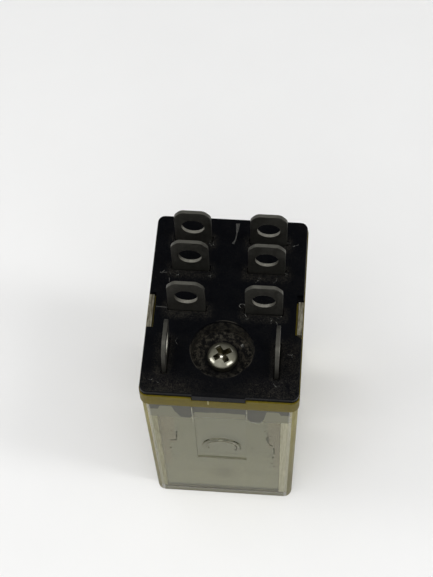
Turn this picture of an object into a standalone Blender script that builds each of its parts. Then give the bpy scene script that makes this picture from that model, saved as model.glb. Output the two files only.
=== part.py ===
"""Plug-in power relay with eight flat terminals, built piece by piece.

The relay stands on the closed end of its clear cover, with the black base and
the terminal blades on top. +X is the right side, +Y the back (the side of the
contacts), +Z up. The origin is the centre of the closed end's flat face.
Every size below is in millimetres and becomes metres in add_part.

The solenoid stands behind the front wall: a core screwed to the yoke from the
base, a bobbin and its winding. The armature rocks on the yoke's lower end. It
carries a moulded carrier with two contact springs that reach up between the
fixed contacts. The armature group is modelled in its pulled-in pose around
the hinge axis, and its pivot empty then turns it to the released pose.
"""
import math

import bmesh
import bpy
from mathutils import Matrix, Vector

MM = 0.001

# Overall size
WIDTH = 21.5
DEPTH = 28.0
BODY_HEIGHT = 36.0
BLADE_HEIGHT = 6.9

# Cover: insets are measured in from the rim's outer face
COVER_RIM_LOW = 32.3
COVER_RIM_TOP = 34.85
COVER_RADIUS = 1.2
COVER_INNER_RADIUS = 0.55
WALL_TOP_INSET = 0.15
WALL_BOTTOM_INSET = 0.46
CAVITY_TOP_INSET = 1.1
CAVITY_BOTTOM_INSET = 1.35
COVER_FLOOR = 1.2
COVER_END_ROUND = 0.3
PANEL_HALF_WIDTH = 3.55
PANEL_BOTTOM = 14.2
PANEL_DEPTH = 0.2
ARCH_OUTER_RADIUS = 2.78
ARCH_INNER_RADIUS = 1.98
ARCH_CENTRE_Z = 18.4
ARCH_OVERRUN = math.radians(28.0)
RIB_TOP = 27.6
RIB_BACK = -11.7
RIB_RIGHT_INNER = 8.35
RIB_LEFT_INNER = 8.65
LUG_FRONT = -4.0
LUG_BACK = 1.05
LUG_INNER_X = 9.9
LUG_OUTER_X = 10.6
LUG_TOP = 35.7

# Base
FLANGE_HALF_WIDTH = 10.62
FLANGE_HALF_DEPTH = 13.8
FLANGE_LOW = 34.9
FLANGE_RADIUS = 1.0
FLANGE_EDGE = 0.25
PLUG_HALF_WIDTH = 9.5
PLUG_HALF_DEPTH = 12.75
PLUG_LOW = 31.0
TONGUE_HALF_WIDTH = 5.85
TONGUE_BACK = -12.22
TONGUE_LOW = 27.1
TONGUE_MIDDLE_LOW = 28.0
TONGUE_MIDDLE_RISE = 0.4
TONGUE_CORNER_WIDTH = 1.1
TONGUE_CORNER_HEIGHT = 1.9
SKIRT_LOW = 29.0
SKIRT_SIZE = 1.2
SKIRT_INSET = 0.03
BARRIER_HALF_WIDTH = 0.5
BARRIER_FRONT = 2.2
BARRIER_BACK = 12.3
BARRIER_LOW = 21.0
TAB_HALF_WIDTH = 3.55
TAB_LOW = 34.35
TAB_FACE = -13.98
NOTCH_FRONT = -4.2
NOTCH_BACK = 1.25
NOTCH_DEPTH = 0.95
NOTCH_POCKET_BACK = 1.95

# Screw and its round recess, on the axis of the solenoid
SOLENOID_Y = -6.95
RECESS_RADIUS = 4.27
RECESS_FLOOR = 33.0
SCREW_HEAD_RADIUS = 2.05
SCREW_HEAD_SEAT = 33.2
SCREW_HEAD_EDGE = 34.05
SCREW_HEAD_CROWN = 34.65
SCREW_SHANK_RADIUS = 1.45
SCREW_TIP = 23.4
SCREW_HOLE_RADIUS = 1.75
SCREW_TURN = math.radians(33.0)
CROSS_HALF_LENGTH = 1.38
CROSS_HALF_WIDTH = 0.4
CROSS_DEPTH = 0.95

# Terminals
BLADE_HALF_WIDTH = 2.55
BLADE_THICKNESS = 0.5
BLADE_HOLE_RADIUS = 1.6
BLADE_CLIP_SIDE = 0.95
BLADE_CLIP_DROP = 1.15
BLADE_FOOT = 36.02
SHANK_HALF_WIDTH = 2.45
SHANK_THICKNESS = 0.44
SLOT_CLEARANCE = 0.03
SLOT_MOUTH_CLEARANCE = 0.2
SLOT_MOUTH_DEPTH = 0.35
CONTACT_X = 5.25
ROW_NORMALLY_OPEN_Y = 10.13
ROW_NORMALLY_CLOSED_Y = 5.4
ROW_COMMON_Y = -1.0
COIL_BLADE_X = 7.5
COIL_BLADE_Y = -8.4
CONTACT_STRIP_HALF_WIDTH = 2.0
CONTACT_STRIP_LOW = 24.3
CONTACT_Z = 26.0
COMMON_TAIL_INNER = 6.4
COMMON_TAIL_OUTER = 7.6
TAIL_LOW = 26.5
COIL_TAIL_HALF_WIDTH = 0.9

# Magnet system
YOKE_HALF_WIDTH = 6.0
YOKE_THICKNESS = 1.5
YOKE_BACK = 1.3
YOKE_FRONT = -11.6
YOKE_TOP = 30.8
YOKE_LOW = 6.8
SPRING_LUG_LOW = 18.6
SPRING_LUG_THICKNESS = 1.0
SPRING_LUG_BACK = 5.0
SPRING_LUG_HALF_WIDTH = 1.3
CORE_RADIUS = 2.6
POLE_RADIUS = 3.6
POLE_FACE = 6.6
POLE_THICKNESS = 1.0
CORE_TOP = 29.1
CORE_BORE_RADIUS = 1.65
CORE_BORE_END = 22.8
BOBBIN_HALF_WIDTH = 7.0
BOBBIN_HALF_DEPTH = 5.15
BOBBIN_LOW = 7.9
BOBBIN_TOP = 28.9
BOBBIN_FLANGE = 1.0
BOBBIN_TUBE_RADIUS = 3.3
BOBBIN_BORE_RADIUS = 2.75
WINDING_INNER_RADIUS = 3.45
WINDING_OUTER_RADIUS = 4.7
WINDING_END_GAP = 0.15
TAPE_INNER_RADIUS = 4.8
TAPE_OUTER_RADIUS = 4.98
TAPE_END_GAP = 0.5
COIL_WIRE_RADIUS = 0.18

# Insulating card between the solenoid and the cover's front wall
CARD_LEFT = -8.55
CARD_RIGHT = 8.25
CARD_LOW = 1.5
CARD_SHOULDER = 28.75
CARD_TOP = 30.6
CARD_TAB_OUTER = 8.1
CARD_GAP_HALF_WIDTH = 6.1
CARD_GAP_LOW = 26.9
CARD_FRONT = -12.52
CARD_BACK = -12.24

# Armature group, in its pulled-in pose
HINGE_Y = 1.3
HINGE_Z = 6.6
RELEASE_ANGLE = math.radians(2.6)
ARMATURE_TOP = 6.45
ARMATURE_THICKNESS = 1.5
ARMATURE_HALF_WIDTH = 5.6
ARMATURE_FRONT = -11.4
TAIL_START = 1.9
TAIL_HALF_WIDTH = 3.8
TAIL_END = 7.2
HOOK_TAB_HALF_WIDTH = 0.9
HOOK_TAB_FRONT = 3.1
HOOK_TAB_BACK = 3.7
HOOK_TAB_TOP = 8.2
CARRIER_HALF_WIDTH = 7.6
CARRIER_FRONT = 2.4
CARRIER_BACK = 8.0
CARRIER_LOW = 6.6
CARRIER_TOP = 11.2
CARRIER_NOTCH_HALF_WIDTH = 1.6
CARRIER_NOTCH_BACK = 5.3
STAKE_RADIUS = 0.5
STAKE_HEAD_RADIUS = 0.85
STAKE_HEIGHTS = (8.0, 10.0)
STAKE_HEAD_START = 8.47
STAKE_END = 8.85
CARRIER_RIVET_X = 2.6
CARRIER_RIVET_Y = 6.3
CARRIER_RIVET_RADIUS = 0.55
CARRIER_RIVET_HEAD_RADIUS = 1.05
CARRIER_RIVET_TOP = 8.4
LEAF_FRONT = 8.085
LEAF_THICKNESS = 0.25
LEAF_HALF_WIDTH = 2.0
LEAF_LOW = 7.0
LEAF_TOP = 27.5
RIVET_SHANK_RADIUS = 0.6
RIVET_HOLE_RADIUS = 0.75
MOVING_CONTACT_RADIUS = 1.4
MOVING_CONTACT_HEAD = 0.55
FIXED_CONTACT_RADIUS = 1.5
FIXED_CONTACT_HEAD = 0.77
CONTACT_SEAT_GAP = 0.08
RIVET_TAIL_RADIUS = 0.95
RIVET_TAIL_HEIGHT = 0.3

# Return spring and flexible leads
SPRING_Y = 3.4
SPRING_RADIUS = 0.9
SPRING_WIRE_RADIUS = 0.15
SPRING_TURNS = 9
SPRING_LOW = 8.65
SPRING_TOP = 18.2
BRAID_RADIUS = 0.45

ROUND_SIDES = 36
SMALL_ROUND_SIDES = 16
WIRE_SIDES = 8


# ---------------------------------------------------------------- outlines

def circle(radius, sides, centre=(0.0, 0.0)):
    """Points of a circle, anticlockwise."""
    points = []
    for step in range(sides):
        angle = 2.0 * math.pi * step / sides
        points.append((centre[0] + radius * math.cos(angle), centre[1] + radius * math.sin(angle)))
    return points


def rounded_rectangle(half_width, half_depth, radius, steps=4):
    """Rectangle about the origin with round corners, anticlockwise."""
    points = []
    corners = ((1, 1), (-1, 1), (-1, -1), (1, -1))
    for quarter, (side_x, side_y) in enumerate(corners):
        for step in range(steps + 1):
            angle = math.pi / 2.0 * (quarter + step / steps)
            x = side_x * (half_width - radius) + radius * math.cos(angle)
            y = side_y * (half_depth - radius) + radius * math.sin(angle)
            points.append((x, y))
    return points


def rectangle(low_u, high_u, low_v, high_v):
    """Corners of a plain rectangle, anticlockwise."""
    return [(low_u, low_v), (high_u, low_v), (high_u, high_v), (low_u, high_v)]


def on_plane(axis, u, v, level):
    """Point at (u, v) on the plane square to an axis at the given level."""
    if axis == "X":
        return Vector((level, u, v))
    if axis == "Y":
        return Vector((u, level, v))
    return Vector((u, v, level))


# ------------------------------------------------------------ mesh builders

def prism(outline, axis, low, high):
    """Closed solid between two levels along an axis."""
    return loft([(outline, low), (outline, high)], axis)


def loft(sections, axis="Z"):
    """Closed solid through outlines of equal point count; both ends capped."""
    mesh = bmesh.new()
    rings = []
    for outline, level in sections:
        rings.append([mesh.verts.new(on_plane(axis, u, v, level)) for u, v in outline])
    for lower, upper in zip(rings, rings[1:]):
        count = len(lower)
        for index in range(count):
            following = (index + 1) % count
            mesh.faces.new((lower[index], lower[following], upper[following], upper[index]))
    mesh.faces.new(tuple(reversed(rings[0])))
    mesh.faces.new(tuple(rings[-1]))
    bmesh.ops.recalc_face_normals(mesh, faces=mesh.faces)
    return mesh


def turned(profile, axis, centre, sides):
    """Solid of revolution. The profile is (radius, level) from end to end.

    A profile that starts and ends on the axis makes a solid piece, and one
    that closes on itself away from the axis makes a ring.
    """
    mesh = bmesh.new()
    rings = []
    for radius, level in profile:
        if radius == 0.0:
            rings.append([mesh.verts.new(on_plane(axis, centre[0], centre[1], level))])
        else:
            points = circle(radius, sides, centre)
            rings.append([mesh.verts.new(on_plane(axis, u, v, level)) for u, v in points])
    pairs = list(zip(rings, rings[1:]))
    if profile[0][0] != 0.0:
        pairs.append((rings[-1], rings[0]))
    for lower, upper in pairs:
        for index in range(sides):
            following = (index + 1) % sides
            if len(lower) == 1:
                mesh.faces.new((lower[0], upper[following], upper[index]))
            elif len(upper) == 1:
                mesh.faces.new((lower[index], lower[following], upper[0]))
            else:
                mesh.faces.new((lower[index], lower[following], upper[following], upper[index]))
    bmesh.ops.recalc_face_normals(mesh, faces=mesh.faces)
    return mesh


def tube(points, radius, sides=WIRE_SIDES):
    """Round wire through the points, with flat closed ends."""
    mesh = bmesh.new()
    points = [Vector(point) for point in points]
    rings = []
    side = None
    for index, point in enumerate(points):
        before = points[max(index - 1, 0)]
        after = points[min(index + 1, len(points) - 1)]
        along = (after - before).normalized()
        if side is None:
            side = along.orthogonal().normalized()
        side = (side - along * side.dot(along)).normalized()
        other = along.cross(side)
        ring = []
        for u, v in circle(radius, sides):
            ring.append(mesh.verts.new(point + side * u + other * v))
        rings.append(ring)
    for lower, upper in zip(rings, rings[1:]):
        for index in range(sides):
            following = (index + 1) % sides
            mesh.faces.new((lower[index], lower[following], upper[following], upper[index]))
    mesh.faces.new(tuple(reversed(rings[0])))
    mesh.faces.new(tuple(rings[-1]))
    bmesh.ops.recalc_face_normals(mesh, faces=mesh.faces)
    return mesh


def smooth_path(points, steps):
    """Catmull-Rom curve through the points."""
    points = [Vector(point) for point in points]
    points = [2 * points[0] - points[1]] + points + [2 * points[-1] - points[-2]]
    path = []
    for index in range(1, len(points) - 2):
        p0, p1, p2, p3 = points[index - 1:index + 3]
        for step in range(steps):
            t = step / steps
            path.append(0.5 * (2 * p1 + (p2 - p0) * t + (2 * p0 - 5 * p1 + 4 * p2 - p3) * t ** 2
                               + (3 * p1 - p0 - 3 * p2 + p3) * t ** 3))
    path.append(points[-2])
    return path


def mirrored(mesh):
    """Same solid on the other side of the X = 0 plane."""
    bmesh.ops.transform(mesh, matrix=Matrix.Scale(-1.0, 4, Vector((1.0, 0.0, 0.0))), verts=mesh.verts)
    bmesh.ops.reverse_faces(mesh, faces=mesh.faces)
    return mesh


def merged(meshes):
    """One mesh that holds several separate solids, for use as a cutter."""
    whole = bmesh.new()
    for mesh in meshes:
        piece = bpy.data.meshes.new("piece")
        mesh.to_mesh(piece)
        mesh.free()
        whole.from_mesh(piece)
        bpy.data.meshes.remove(piece)
    return whole


# ------------------------------------------------------- objects and looks

def material(name, color, roughness, metallic=0.0):
    """Principled material in one colour."""
    existing = bpy.data.materials.get(name)
    if existing:
        return existing
    made = bpy.data.materials.new(name)
    made.use_nodes = True
    made.diffuse_color = (*color, 1.0)
    shader = made.node_tree.nodes["Principled BSDF"]
    shader.inputs["Base Color"].default_value = (*color, 1.0)
    shader.inputs["Roughness"].default_value = roughness
    shader.inputs["Metallic"].default_value = metallic
    return made


def add_part(name, mesh, look, pivot=None):
    """Named object in metres. A moving piece is parented to its pivot."""
    if pivot:
        bmesh.ops.translate(mesh, vec=Vector((0.0, -HINGE_Y, -HINGE_Z)), verts=mesh.verts)
    bmesh.ops.scale(mesh, vec=Vector((MM, MM, MM)), verts=mesh.verts)
    data = bpy.data.meshes.new(name)
    mesh.to_mesh(data)
    mesh.free()
    data.materials.append(look)
    data.shade_smooth()
    data.set_sharp_from_angle(angle=math.radians(35.0))
    part = bpy.data.objects.new(name, data)
    bpy.context.scene.collection.objects.link(part)
    part.parent = pivot
    return part


def combine(part, tool_name, mesh, operation, pivot=None):
    """Join a solid to the part or cut it away, with a live Boolean."""
    tool = add_part(tool_name, mesh, part.data.materials[0], pivot)
    tool.hide_render = True
    tool.display_type = "WIRE"
    modifier = part.modifiers.new(tool_name, "BOOLEAN")
    modifier.operation = operation
    modifier.solver = "EXACT"
    modifier.object = tool


def black_phenolic():
    return material("black_phenolic", (0.012, 0.013, 0.015), 0.35)


def aged_clear_plastic():
    return material("aged_clear_plastic", (0.62, 0.58, 0.36), 0.2)


def tinned_metal():
    return material("tinned_metal", (0.32, 0.32, 0.3), 0.45, 1.0)


def bright_nickel():
    return material("bright_nickel", (0.55, 0.53, 0.48), 0.25, 1.0)


def plated_iron():
    return material("plated_iron", (0.42, 0.41, 0.38), 0.4, 1.0)


def enamelled_copper():
    return material("enamelled_copper", (0.45, 0.16, 0.06), 0.35, 1.0)


def spring_bronze():
    return material("spring_bronze", (0.6, 0.38, 0.2), 0.35, 1.0)


def contact_silver():
    return material("contact_silver", (0.8, 0.79, 0.75), 0.25, 1.0)


def nylon():
    return material("nylon", (0.72, 0.68, 0.56), 0.5)


def wrapping_tape():
    return material("wrapping_tape", (0.5, 0.36, 0.1), 0.45)


def grey_card():
    return material("grey_card", (0.5, 0.5, 0.42), 0.7)


def red_phenolic():
    return material("carrier_phenolic", (0.2, 0.035, 0.02), 0.45)


def copper_braid():
    return material("copper_braid", (0.62, 0.33, 0.18), 0.55, 1.0)


# ------------------------------------------------------------------- cover

def rim_outline(inset, radius):
    """Outline of the cover at a distance in from the rim's outer face."""
    return rounded_rectangle(WIDTH / 2 - inset, DEPTH / 2 - inset, radius)


def wall_front(level):
    """Y of the cover's front wall surface at a height."""
    share = (level - COVER_END_ROUND) / (COVER_RIM_LOW - COVER_END_ROUND)
    inset = WALL_BOTTOM_INSET + share * (WALL_TOP_INSET - WALL_BOTTOM_INSET)
    return inset - DEPTH / 2


def cover():
    """Clear box, open upwards, with a thick rim, two lugs and a front panel."""
    shell = loft([
        (rim_outline(WALL_BOTTOM_INSET + COVER_END_ROUND, COVER_RADIUS - COVER_END_ROUND), 0.0),
        (rim_outline(WALL_BOTTOM_INSET + COVER_END_ROUND * 0.3, COVER_RADIUS - 0.1), COVER_END_ROUND * 0.3),
        (rim_outline(WALL_BOTTOM_INSET, COVER_RADIUS), COVER_END_ROUND),
        (rim_outline(WALL_TOP_INSET, COVER_RADIUS), COVER_RIM_LOW),
        (rim_outline(0.0, COVER_RADIUS), COVER_RIM_LOW + 0.05),
        (rim_outline(0.0, COVER_RADIUS), COVER_RIM_TOP),
        (rim_outline(CAVITY_TOP_INSET, COVER_INNER_RADIUS), COVER_RIM_TOP),
        (rim_outline(CAVITY_BOTTOM_INSET, COVER_INNER_RADIUS), COVER_FLOOR),
    ])
    part = add_part("cover", shell, aged_clear_plastic())

    lug = prism(rectangle(LUG_INNER_X, LUG_OUTER_X, LUG_FRONT, LUG_BACK), "Z",
                COVER_RIM_TOP - 0.6, LUG_TOP)
    other_lug = mirrored(lug.copy())
    combine(part, "cover_lugs", merged([lug, other_lug]), "UNION")

    in_wall = WIDTH / 2 - CAVITY_TOP_INSET + 0.25
    in_front = CAVITY_TOP_INSET - 0.2 - DEPTH / 2
    ribs = [
        prism(rectangle(RIB_RIGHT_INNER, in_wall, in_front, RIB_BACK), "Z", COVER_FLOOR / 2, RIB_TOP),
        prism(rectangle(-in_wall, -RIB_LEFT_INNER, in_front, RIB_BACK), "Z", COVER_FLOOR / 2, RIB_TOP),
    ]
    combine(part, "card_ribs", merged(ribs), "UNION")

    recess_top = COVER_RIM_LOW - 0.1
    recess = prism([
        (-DEPTH, PANEL_BOTTOM),
        (wall_front(PANEL_BOTTOM) + PANEL_DEPTH, PANEL_BOTTOM),
        (wall_front(recess_top) + PANEL_DEPTH, recess_top),
        (-DEPTH, recess_top),
    ], "X", -PANEL_HALF_WIDTH, PANEL_HALF_WIDTH)
    combine(part, "panel_cutter", recess, "DIFFERENCE")

    arch_steps = 18
    outer_edge = []
    inner_edge = []
    for step in range(arch_steps + 1):
        angle = (math.pi + 2.0 * ARCH_OVERRUN) * step / arch_steps - ARCH_OVERRUN
        for edge, radius in ((outer_edge, ARCH_OUTER_RADIUS), (inner_edge, ARCH_INNER_RADIUS)):
            edge.append((radius * math.cos(angle), ARCH_CENTRE_Z + radius * math.sin(angle)))
    arch_points = outer_edge + list(reversed(inner_edge))
    arch_face = wall_front(ARCH_CENTRE_Z) + PANEL_DEPTH * 0.4
    arch = prism(arch_points, "Y", arch_face, arch_face + PANEL_DEPTH * 2)
    combine(part, "arch_rib", arch, "UNION")

    tab_room = TAB_HALF_WIDTH + 0.12
    notch = prism(rectangle(-tab_room, tab_room, -DEPTH, CAVITY_TOP_INSET - DEPTH / 2 + 1.0), "Z",
                  TAB_LOW - 0.12, BODY_HEIGHT)
    combine(part, "tab_notch_cutter", notch, "DIFFERENCE")


# -------------------------------------------------------------------- base

def flange_outline(inset):
    return rounded_rectangle(FLANGE_HALF_WIDTH - inset, FLANGE_HALF_DEPTH - inset, FLANGE_RADIUS - inset)


def slot_cutters(half_width, half_thickness, low):
    """Upright slots for all eight terminals, open at the top of the base."""
    sizes = []
    for side in (-1, 1):
        for row in (ROW_NORMALLY_OPEN_Y, ROW_NORMALLY_CLOSED_Y, ROW_COMMON_Y):
            sizes.append((side * CONTACT_X, row, half_width, half_thickness))
        sizes.append((side * COIL_BLADE_X, COIL_BLADE_Y, half_thickness, half_width))
    slots = []
    for x, y, half_x, half_y in sizes:
        outline = rectangle(x - half_x, x + half_x, y - half_y, y + half_y)
        slots.append(prism(outline, "Z", low, BODY_HEIGHT + 1.0))
    return merged(slots)


def tongue_outline():
    """Front tongue with two round lower corners and a raised middle, as (x, z) points."""
    steps = 5
    left = []
    for step in range(steps + 1):
        angle = math.pi * (1.0 + 0.5 * step / steps)
        left.append((-TONGUE_HALF_WIDTH + TONGUE_CORNER_WIDTH * (1.0 + math.cos(angle)),
                     TONGUE_LOW + TONGUE_CORNER_HEIGHT * (1.0 + math.sin(angle))))
    left.append((-TAB_HALF_WIDTH, TONGUE_LOW))
    left.append((-TAB_HALF_WIDTH, TONGUE_MIDDLE_LOW))
    top = [(TONGUE_HALF_WIDTH, PLUG_LOW + 1.5), (-TONGUE_HALF_WIDTH, PLUG_LOW + 1.5)]
    middle = [(0.0, TONGUE_MIDDLE_LOW + TONGUE_MIDDLE_RISE)]
    right = [(-x, z) for x, z in reversed(left)]
    return left + middle + right + top


def side_notch_cutter(slanted):
    """Open notch in the flange's side for a cover lug."""
    inner = FLANGE_HALF_WIDTH - NOTCH_DEPTH
    outer = FLANGE_HALF_WIDTH + 1.0
    if slanted:
        lead = 0.55 * (outer - inner)
        outline = [
            (inner, NOTCH_FRONT),
            (outer, NOTCH_FRONT - lead),
            (outer, NOTCH_BACK),
            (inner, NOTCH_BACK),
        ]
    else:
        outline = rectangle(inner, outer, NOTCH_FRONT, NOTCH_BACK)
    return prism(outline, "Z", FLANGE_LOW - 1.0, BODY_HEIGHT + 1.0)


def base():
    """Black moulded base: flange, plug, front tongue, barrier and recess."""
    flange = loft([
        (flange_outline(0.0), FLANGE_LOW),
        (flange_outline(0.0), BODY_HEIGHT - FLANGE_EDGE),
        (flange_outline(FLANGE_EDGE * 0.3), BODY_HEIGHT - FLANGE_EDGE * 0.3),
        (flange_outline(FLANGE_EDGE), BODY_HEIGHT),
    ])
    part = add_part("base", flange, black_phenolic())

    plug = prism(rounded_rectangle(PLUG_HALF_WIDTH, PLUG_HALF_DEPTH, COVER_INNER_RADIUS),
                 "Z", PLUG_LOW, FLANGE_LOW + 0.4)
    combine(part, "plug_block", plug, "UNION")

    tongue = prism(tongue_outline(), "Y", -PLUG_HALF_DEPTH + 0.03, TONGUE_BACK)
    combine(part, "front_tongue", tongue, "UNION")

    skirts = []
    for side_x in (-1, 1):
        for side_y in (-1, 1):
            outer_x = PLUG_HALF_WIDTH - SKIRT_INSET
            outer_y = PLUG_HALF_DEPTH - SKIRT_INSET
            span_x = sorted((side_x * (outer_x - SKIRT_SIZE), side_x * outer_x))
            span_y = sorted((side_y * (outer_y - SKIRT_SIZE), side_y * outer_y))
            skirts.append(prism(rectangle(*span_x, *span_y), "Z", SKIRT_LOW, PLUG_LOW + 1.0))
    combine(part, "corner_skirts", merged(skirts), "UNION")

    barrier = prism(rectangle(-BARRIER_HALF_WIDTH, BARRIER_HALF_WIDTH, BARRIER_FRONT, BARRIER_BACK),
                    "Z", BARRIER_LOW, PLUG_LOW + 1.0)
    combine(part, "barrier_wall", barrier, "UNION")

    tab = prism([
        (TAB_FACE, TAB_LOW),
        (TAB_FACE, BODY_HEIGHT - FLANGE_EDGE * 1.6),
        (TAB_FACE + FLANGE_EDGE * 0.5, BODY_HEIGHT - FLANGE_EDGE * 0.5),
        (TAB_FACE + FLANGE_EDGE * 1.6, BODY_HEIGHT - 0.01),
        (-PLUG_HALF_DEPTH + 0.6, BODY_HEIGHT - 0.01),
        (-PLUG_HALF_DEPTH + 0.6, TAB_LOW),
    ], "X", -TAB_HALF_WIDTH, TAB_HALF_WIDTH)
    combine(part, "front_tab", tab, "UNION")

    axis = (0.0, SOLENOID_Y)
    recess = prism(circle(RECESS_RADIUS, ROUND_SIDES, axis), "Z", RECESS_FLOOR, BODY_HEIGHT + 1.0)
    combine(part, "recess_cutter", recess, "DIFFERENCE")
    hole = prism(circle(SCREW_HOLE_RADIUS, SMALL_ROUND_SIDES, axis), "Z", PLUG_LOW - 1.0, RECESS_FLOOR + 1.0)
    combine(part, "screw_hole_cutter", hole, "DIFFERENCE")

    slots = slot_cutters(SHANK_HALF_WIDTH + SLOT_CLEARANCE, SHANK_THICKNESS / 2 + SLOT_CLEARANCE,
                         PLUG_LOW - 1.0)
    combine(part, "slot_cutters", slots, "DIFFERENCE")
    mouths = slot_cutters(BLADE_HALF_WIDTH + SLOT_MOUTH_CLEARANCE, BLADE_THICKNESS / 2 + SLOT_MOUTH_CLEARANCE,
                          BODY_HEIGHT - SLOT_MOUTH_DEPTH)
    combine(part, "slot_mouth_cutters", mouths, "DIFFERENCE")

    pocket = prism(rectangle(FLANGE_HALF_WIDTH - NOTCH_DEPTH, FLANGE_HALF_WIDTH - 0.12,
                             NOTCH_BACK - 0.2, NOTCH_POCKET_BACK),
                   "Z", BODY_HEIGHT - 0.6, BODY_HEIGHT + 1.0)
    combine(part, "pocket_cutter", pocket, "DIFFERENCE")
    notches = [mirrored(side_notch_cutter(False)), side_notch_cutter(True)]
    combine(part, "notch_cutters", merged(notches), "DIFFERENCE")


# --------------------------------------------------------------- terminals

def blade_outline(centre):
    """Blade above the base with clipped top corners, as (u, z) points."""
    top = BODY_HEIGHT + BLADE_HEIGHT
    left = centre - BLADE_HALF_WIDTH
    right = centre + BLADE_HALF_WIDTH
    return [
        (left, BLADE_FOOT),
        (right, BLADE_FOOT),
        (right, top - BLADE_CLIP_DROP),
        (right - BLADE_CLIP_SIDE, top),
        (left + BLADE_CLIP_SIDE, top),
        (left, top - BLADE_CLIP_DROP),
    ]


def shank_outline(centre, tail_left, tail_right, tail_bottom):
    """Shank inside the base's slot above a narrower tail, as (u, z) points."""
    shank_low = PLUG_LOW - 0.05
    shank_top = BLADE_FOOT + 0.5
    return [
        (tail_left, tail_bottom),
        (tail_right, tail_bottom),
        (tail_right, shank_low),
        (centre + SHANK_HALF_WIDTH, shank_low),
        (centre + SHANK_HALF_WIDTH, shank_top),
        (centre - SHANK_HALF_WIDTH, shank_top),
        (centre - SHANK_HALF_WIDTH, shank_low),
        (tail_left, shank_low),
    ]


def flat_terminal(name, axis, centre, level, tail, tail_bottom):
    """Blade and thinner shank, square to an axis at the given level."""
    half = BLADE_THICKNESS / 2
    part = add_part(name, prism(blade_outline(centre), axis, level - half, level + half), tinned_metal())
    half = SHANK_THICKNESS / 2
    shank = prism(shank_outline(centre, tail[0], tail[1], tail_bottom), axis, level - half, level + half)
    combine(part, name + "_shank", shank, "UNION")
    hole_centre = (centre, BODY_HEIGHT + BLADE_HEIGHT / 2)
    hole = prism(circle(BLADE_HOLE_RADIUS, ROUND_SIDES, hole_centre), axis, level - 1.0, level + 1.0)
    combine(part, name + "_hole_cutter", hole, "DIFFERENCE")
    return part


def rivet_hole(centre_x, centre_y):
    """Round cutter for a contact's shank."""
    outline = circle(RIVET_HOLE_RADIUS, SMALL_ROUND_SIDES, (centre_x, CONTACT_Z))
    return prism(outline, "Y", centre_y - 1.0, centre_y + 1.0)


def contact_terminal(name, side, row_y):
    """Flat terminal that carries a fixed contact at its lower end."""
    centre = side * CONTACT_X
    tail = (centre - CONTACT_STRIP_HALF_WIDTH, centre + CONTACT_STRIP_HALF_WIDTH)
    part = flat_terminal(name, "Y", centre, row_y, tail, CONTACT_STRIP_LOW)
    combine(part, name + "_rivet_cutter", rivet_hole(centre, row_y), "DIFFERENCE")


def common_terminal(name, side):
    """Flat terminal of a moving contact, with a tail beside the yoke."""
    tail = sorted((side * COMMON_TAIL_INNER, side * COMMON_TAIL_OUTER))
    flat_terminal(name, "Y", side * CONTACT_X, ROW_COMMON_Y, tail, TAIL_LOW)


def coil_terminal(name, side):
    """Flat terminal of the coil, turned a quarter turn from the others."""
    tail = (COIL_BLADE_Y - COIL_TAIL_HALF_WIDTH, COIL_BLADE_Y + COIL_TAIL_HALF_WIDTH)
    flat_terminal(name, "X", COIL_BLADE_Y, side * COIL_BLADE_X, tail, TAIL_LOW)


def rivet_profile(face, head, seat, tail_start, tail_end, tail_radius, head_radius):
    """(radius, level) profile of a rivet from its contact face to its tail."""
    crown = 0.12 * (seat - face) / head
    return [
        (0.0, face),
        (head_radius * 0.75, face),
        (head_radius, face + crown),
        (head_radius, seat),
        (RIVET_SHANK_RADIUS, seat),
        (RIVET_SHANK_RADIUS, tail_start),
        (tail_radius, tail_start),
        (tail_radius, tail_end),
        (0.0, tail_end),
    ]


def fixed_contact(name, side, row_y, facing):
    """Silver rivet in a terminal. Facing is +1 or -1 along Y."""
    seat = row_y + facing * (SHANK_THICKNESS / 2 + CONTACT_SEAT_GAP)
    face = seat + facing * FIXED_CONTACT_HEAD
    tail_start = row_y - facing * (SHANK_THICKNESS / 2 + CONTACT_SEAT_GAP)
    tail_end = tail_start - facing * RIVET_TAIL_HEIGHT
    profile = rivet_profile(face, FIXED_CONTACT_HEAD, seat, tail_start, tail_end,
                            RIVET_TAIL_RADIUS, FIXED_CONTACT_RADIUS)
    add_part(name, turned(profile, "Y", (side * CONTACT_X, CONTACT_Z), SMALL_ROUND_SIDES), contact_silver())


# ------------------------------------------------------------ magnet system

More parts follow.
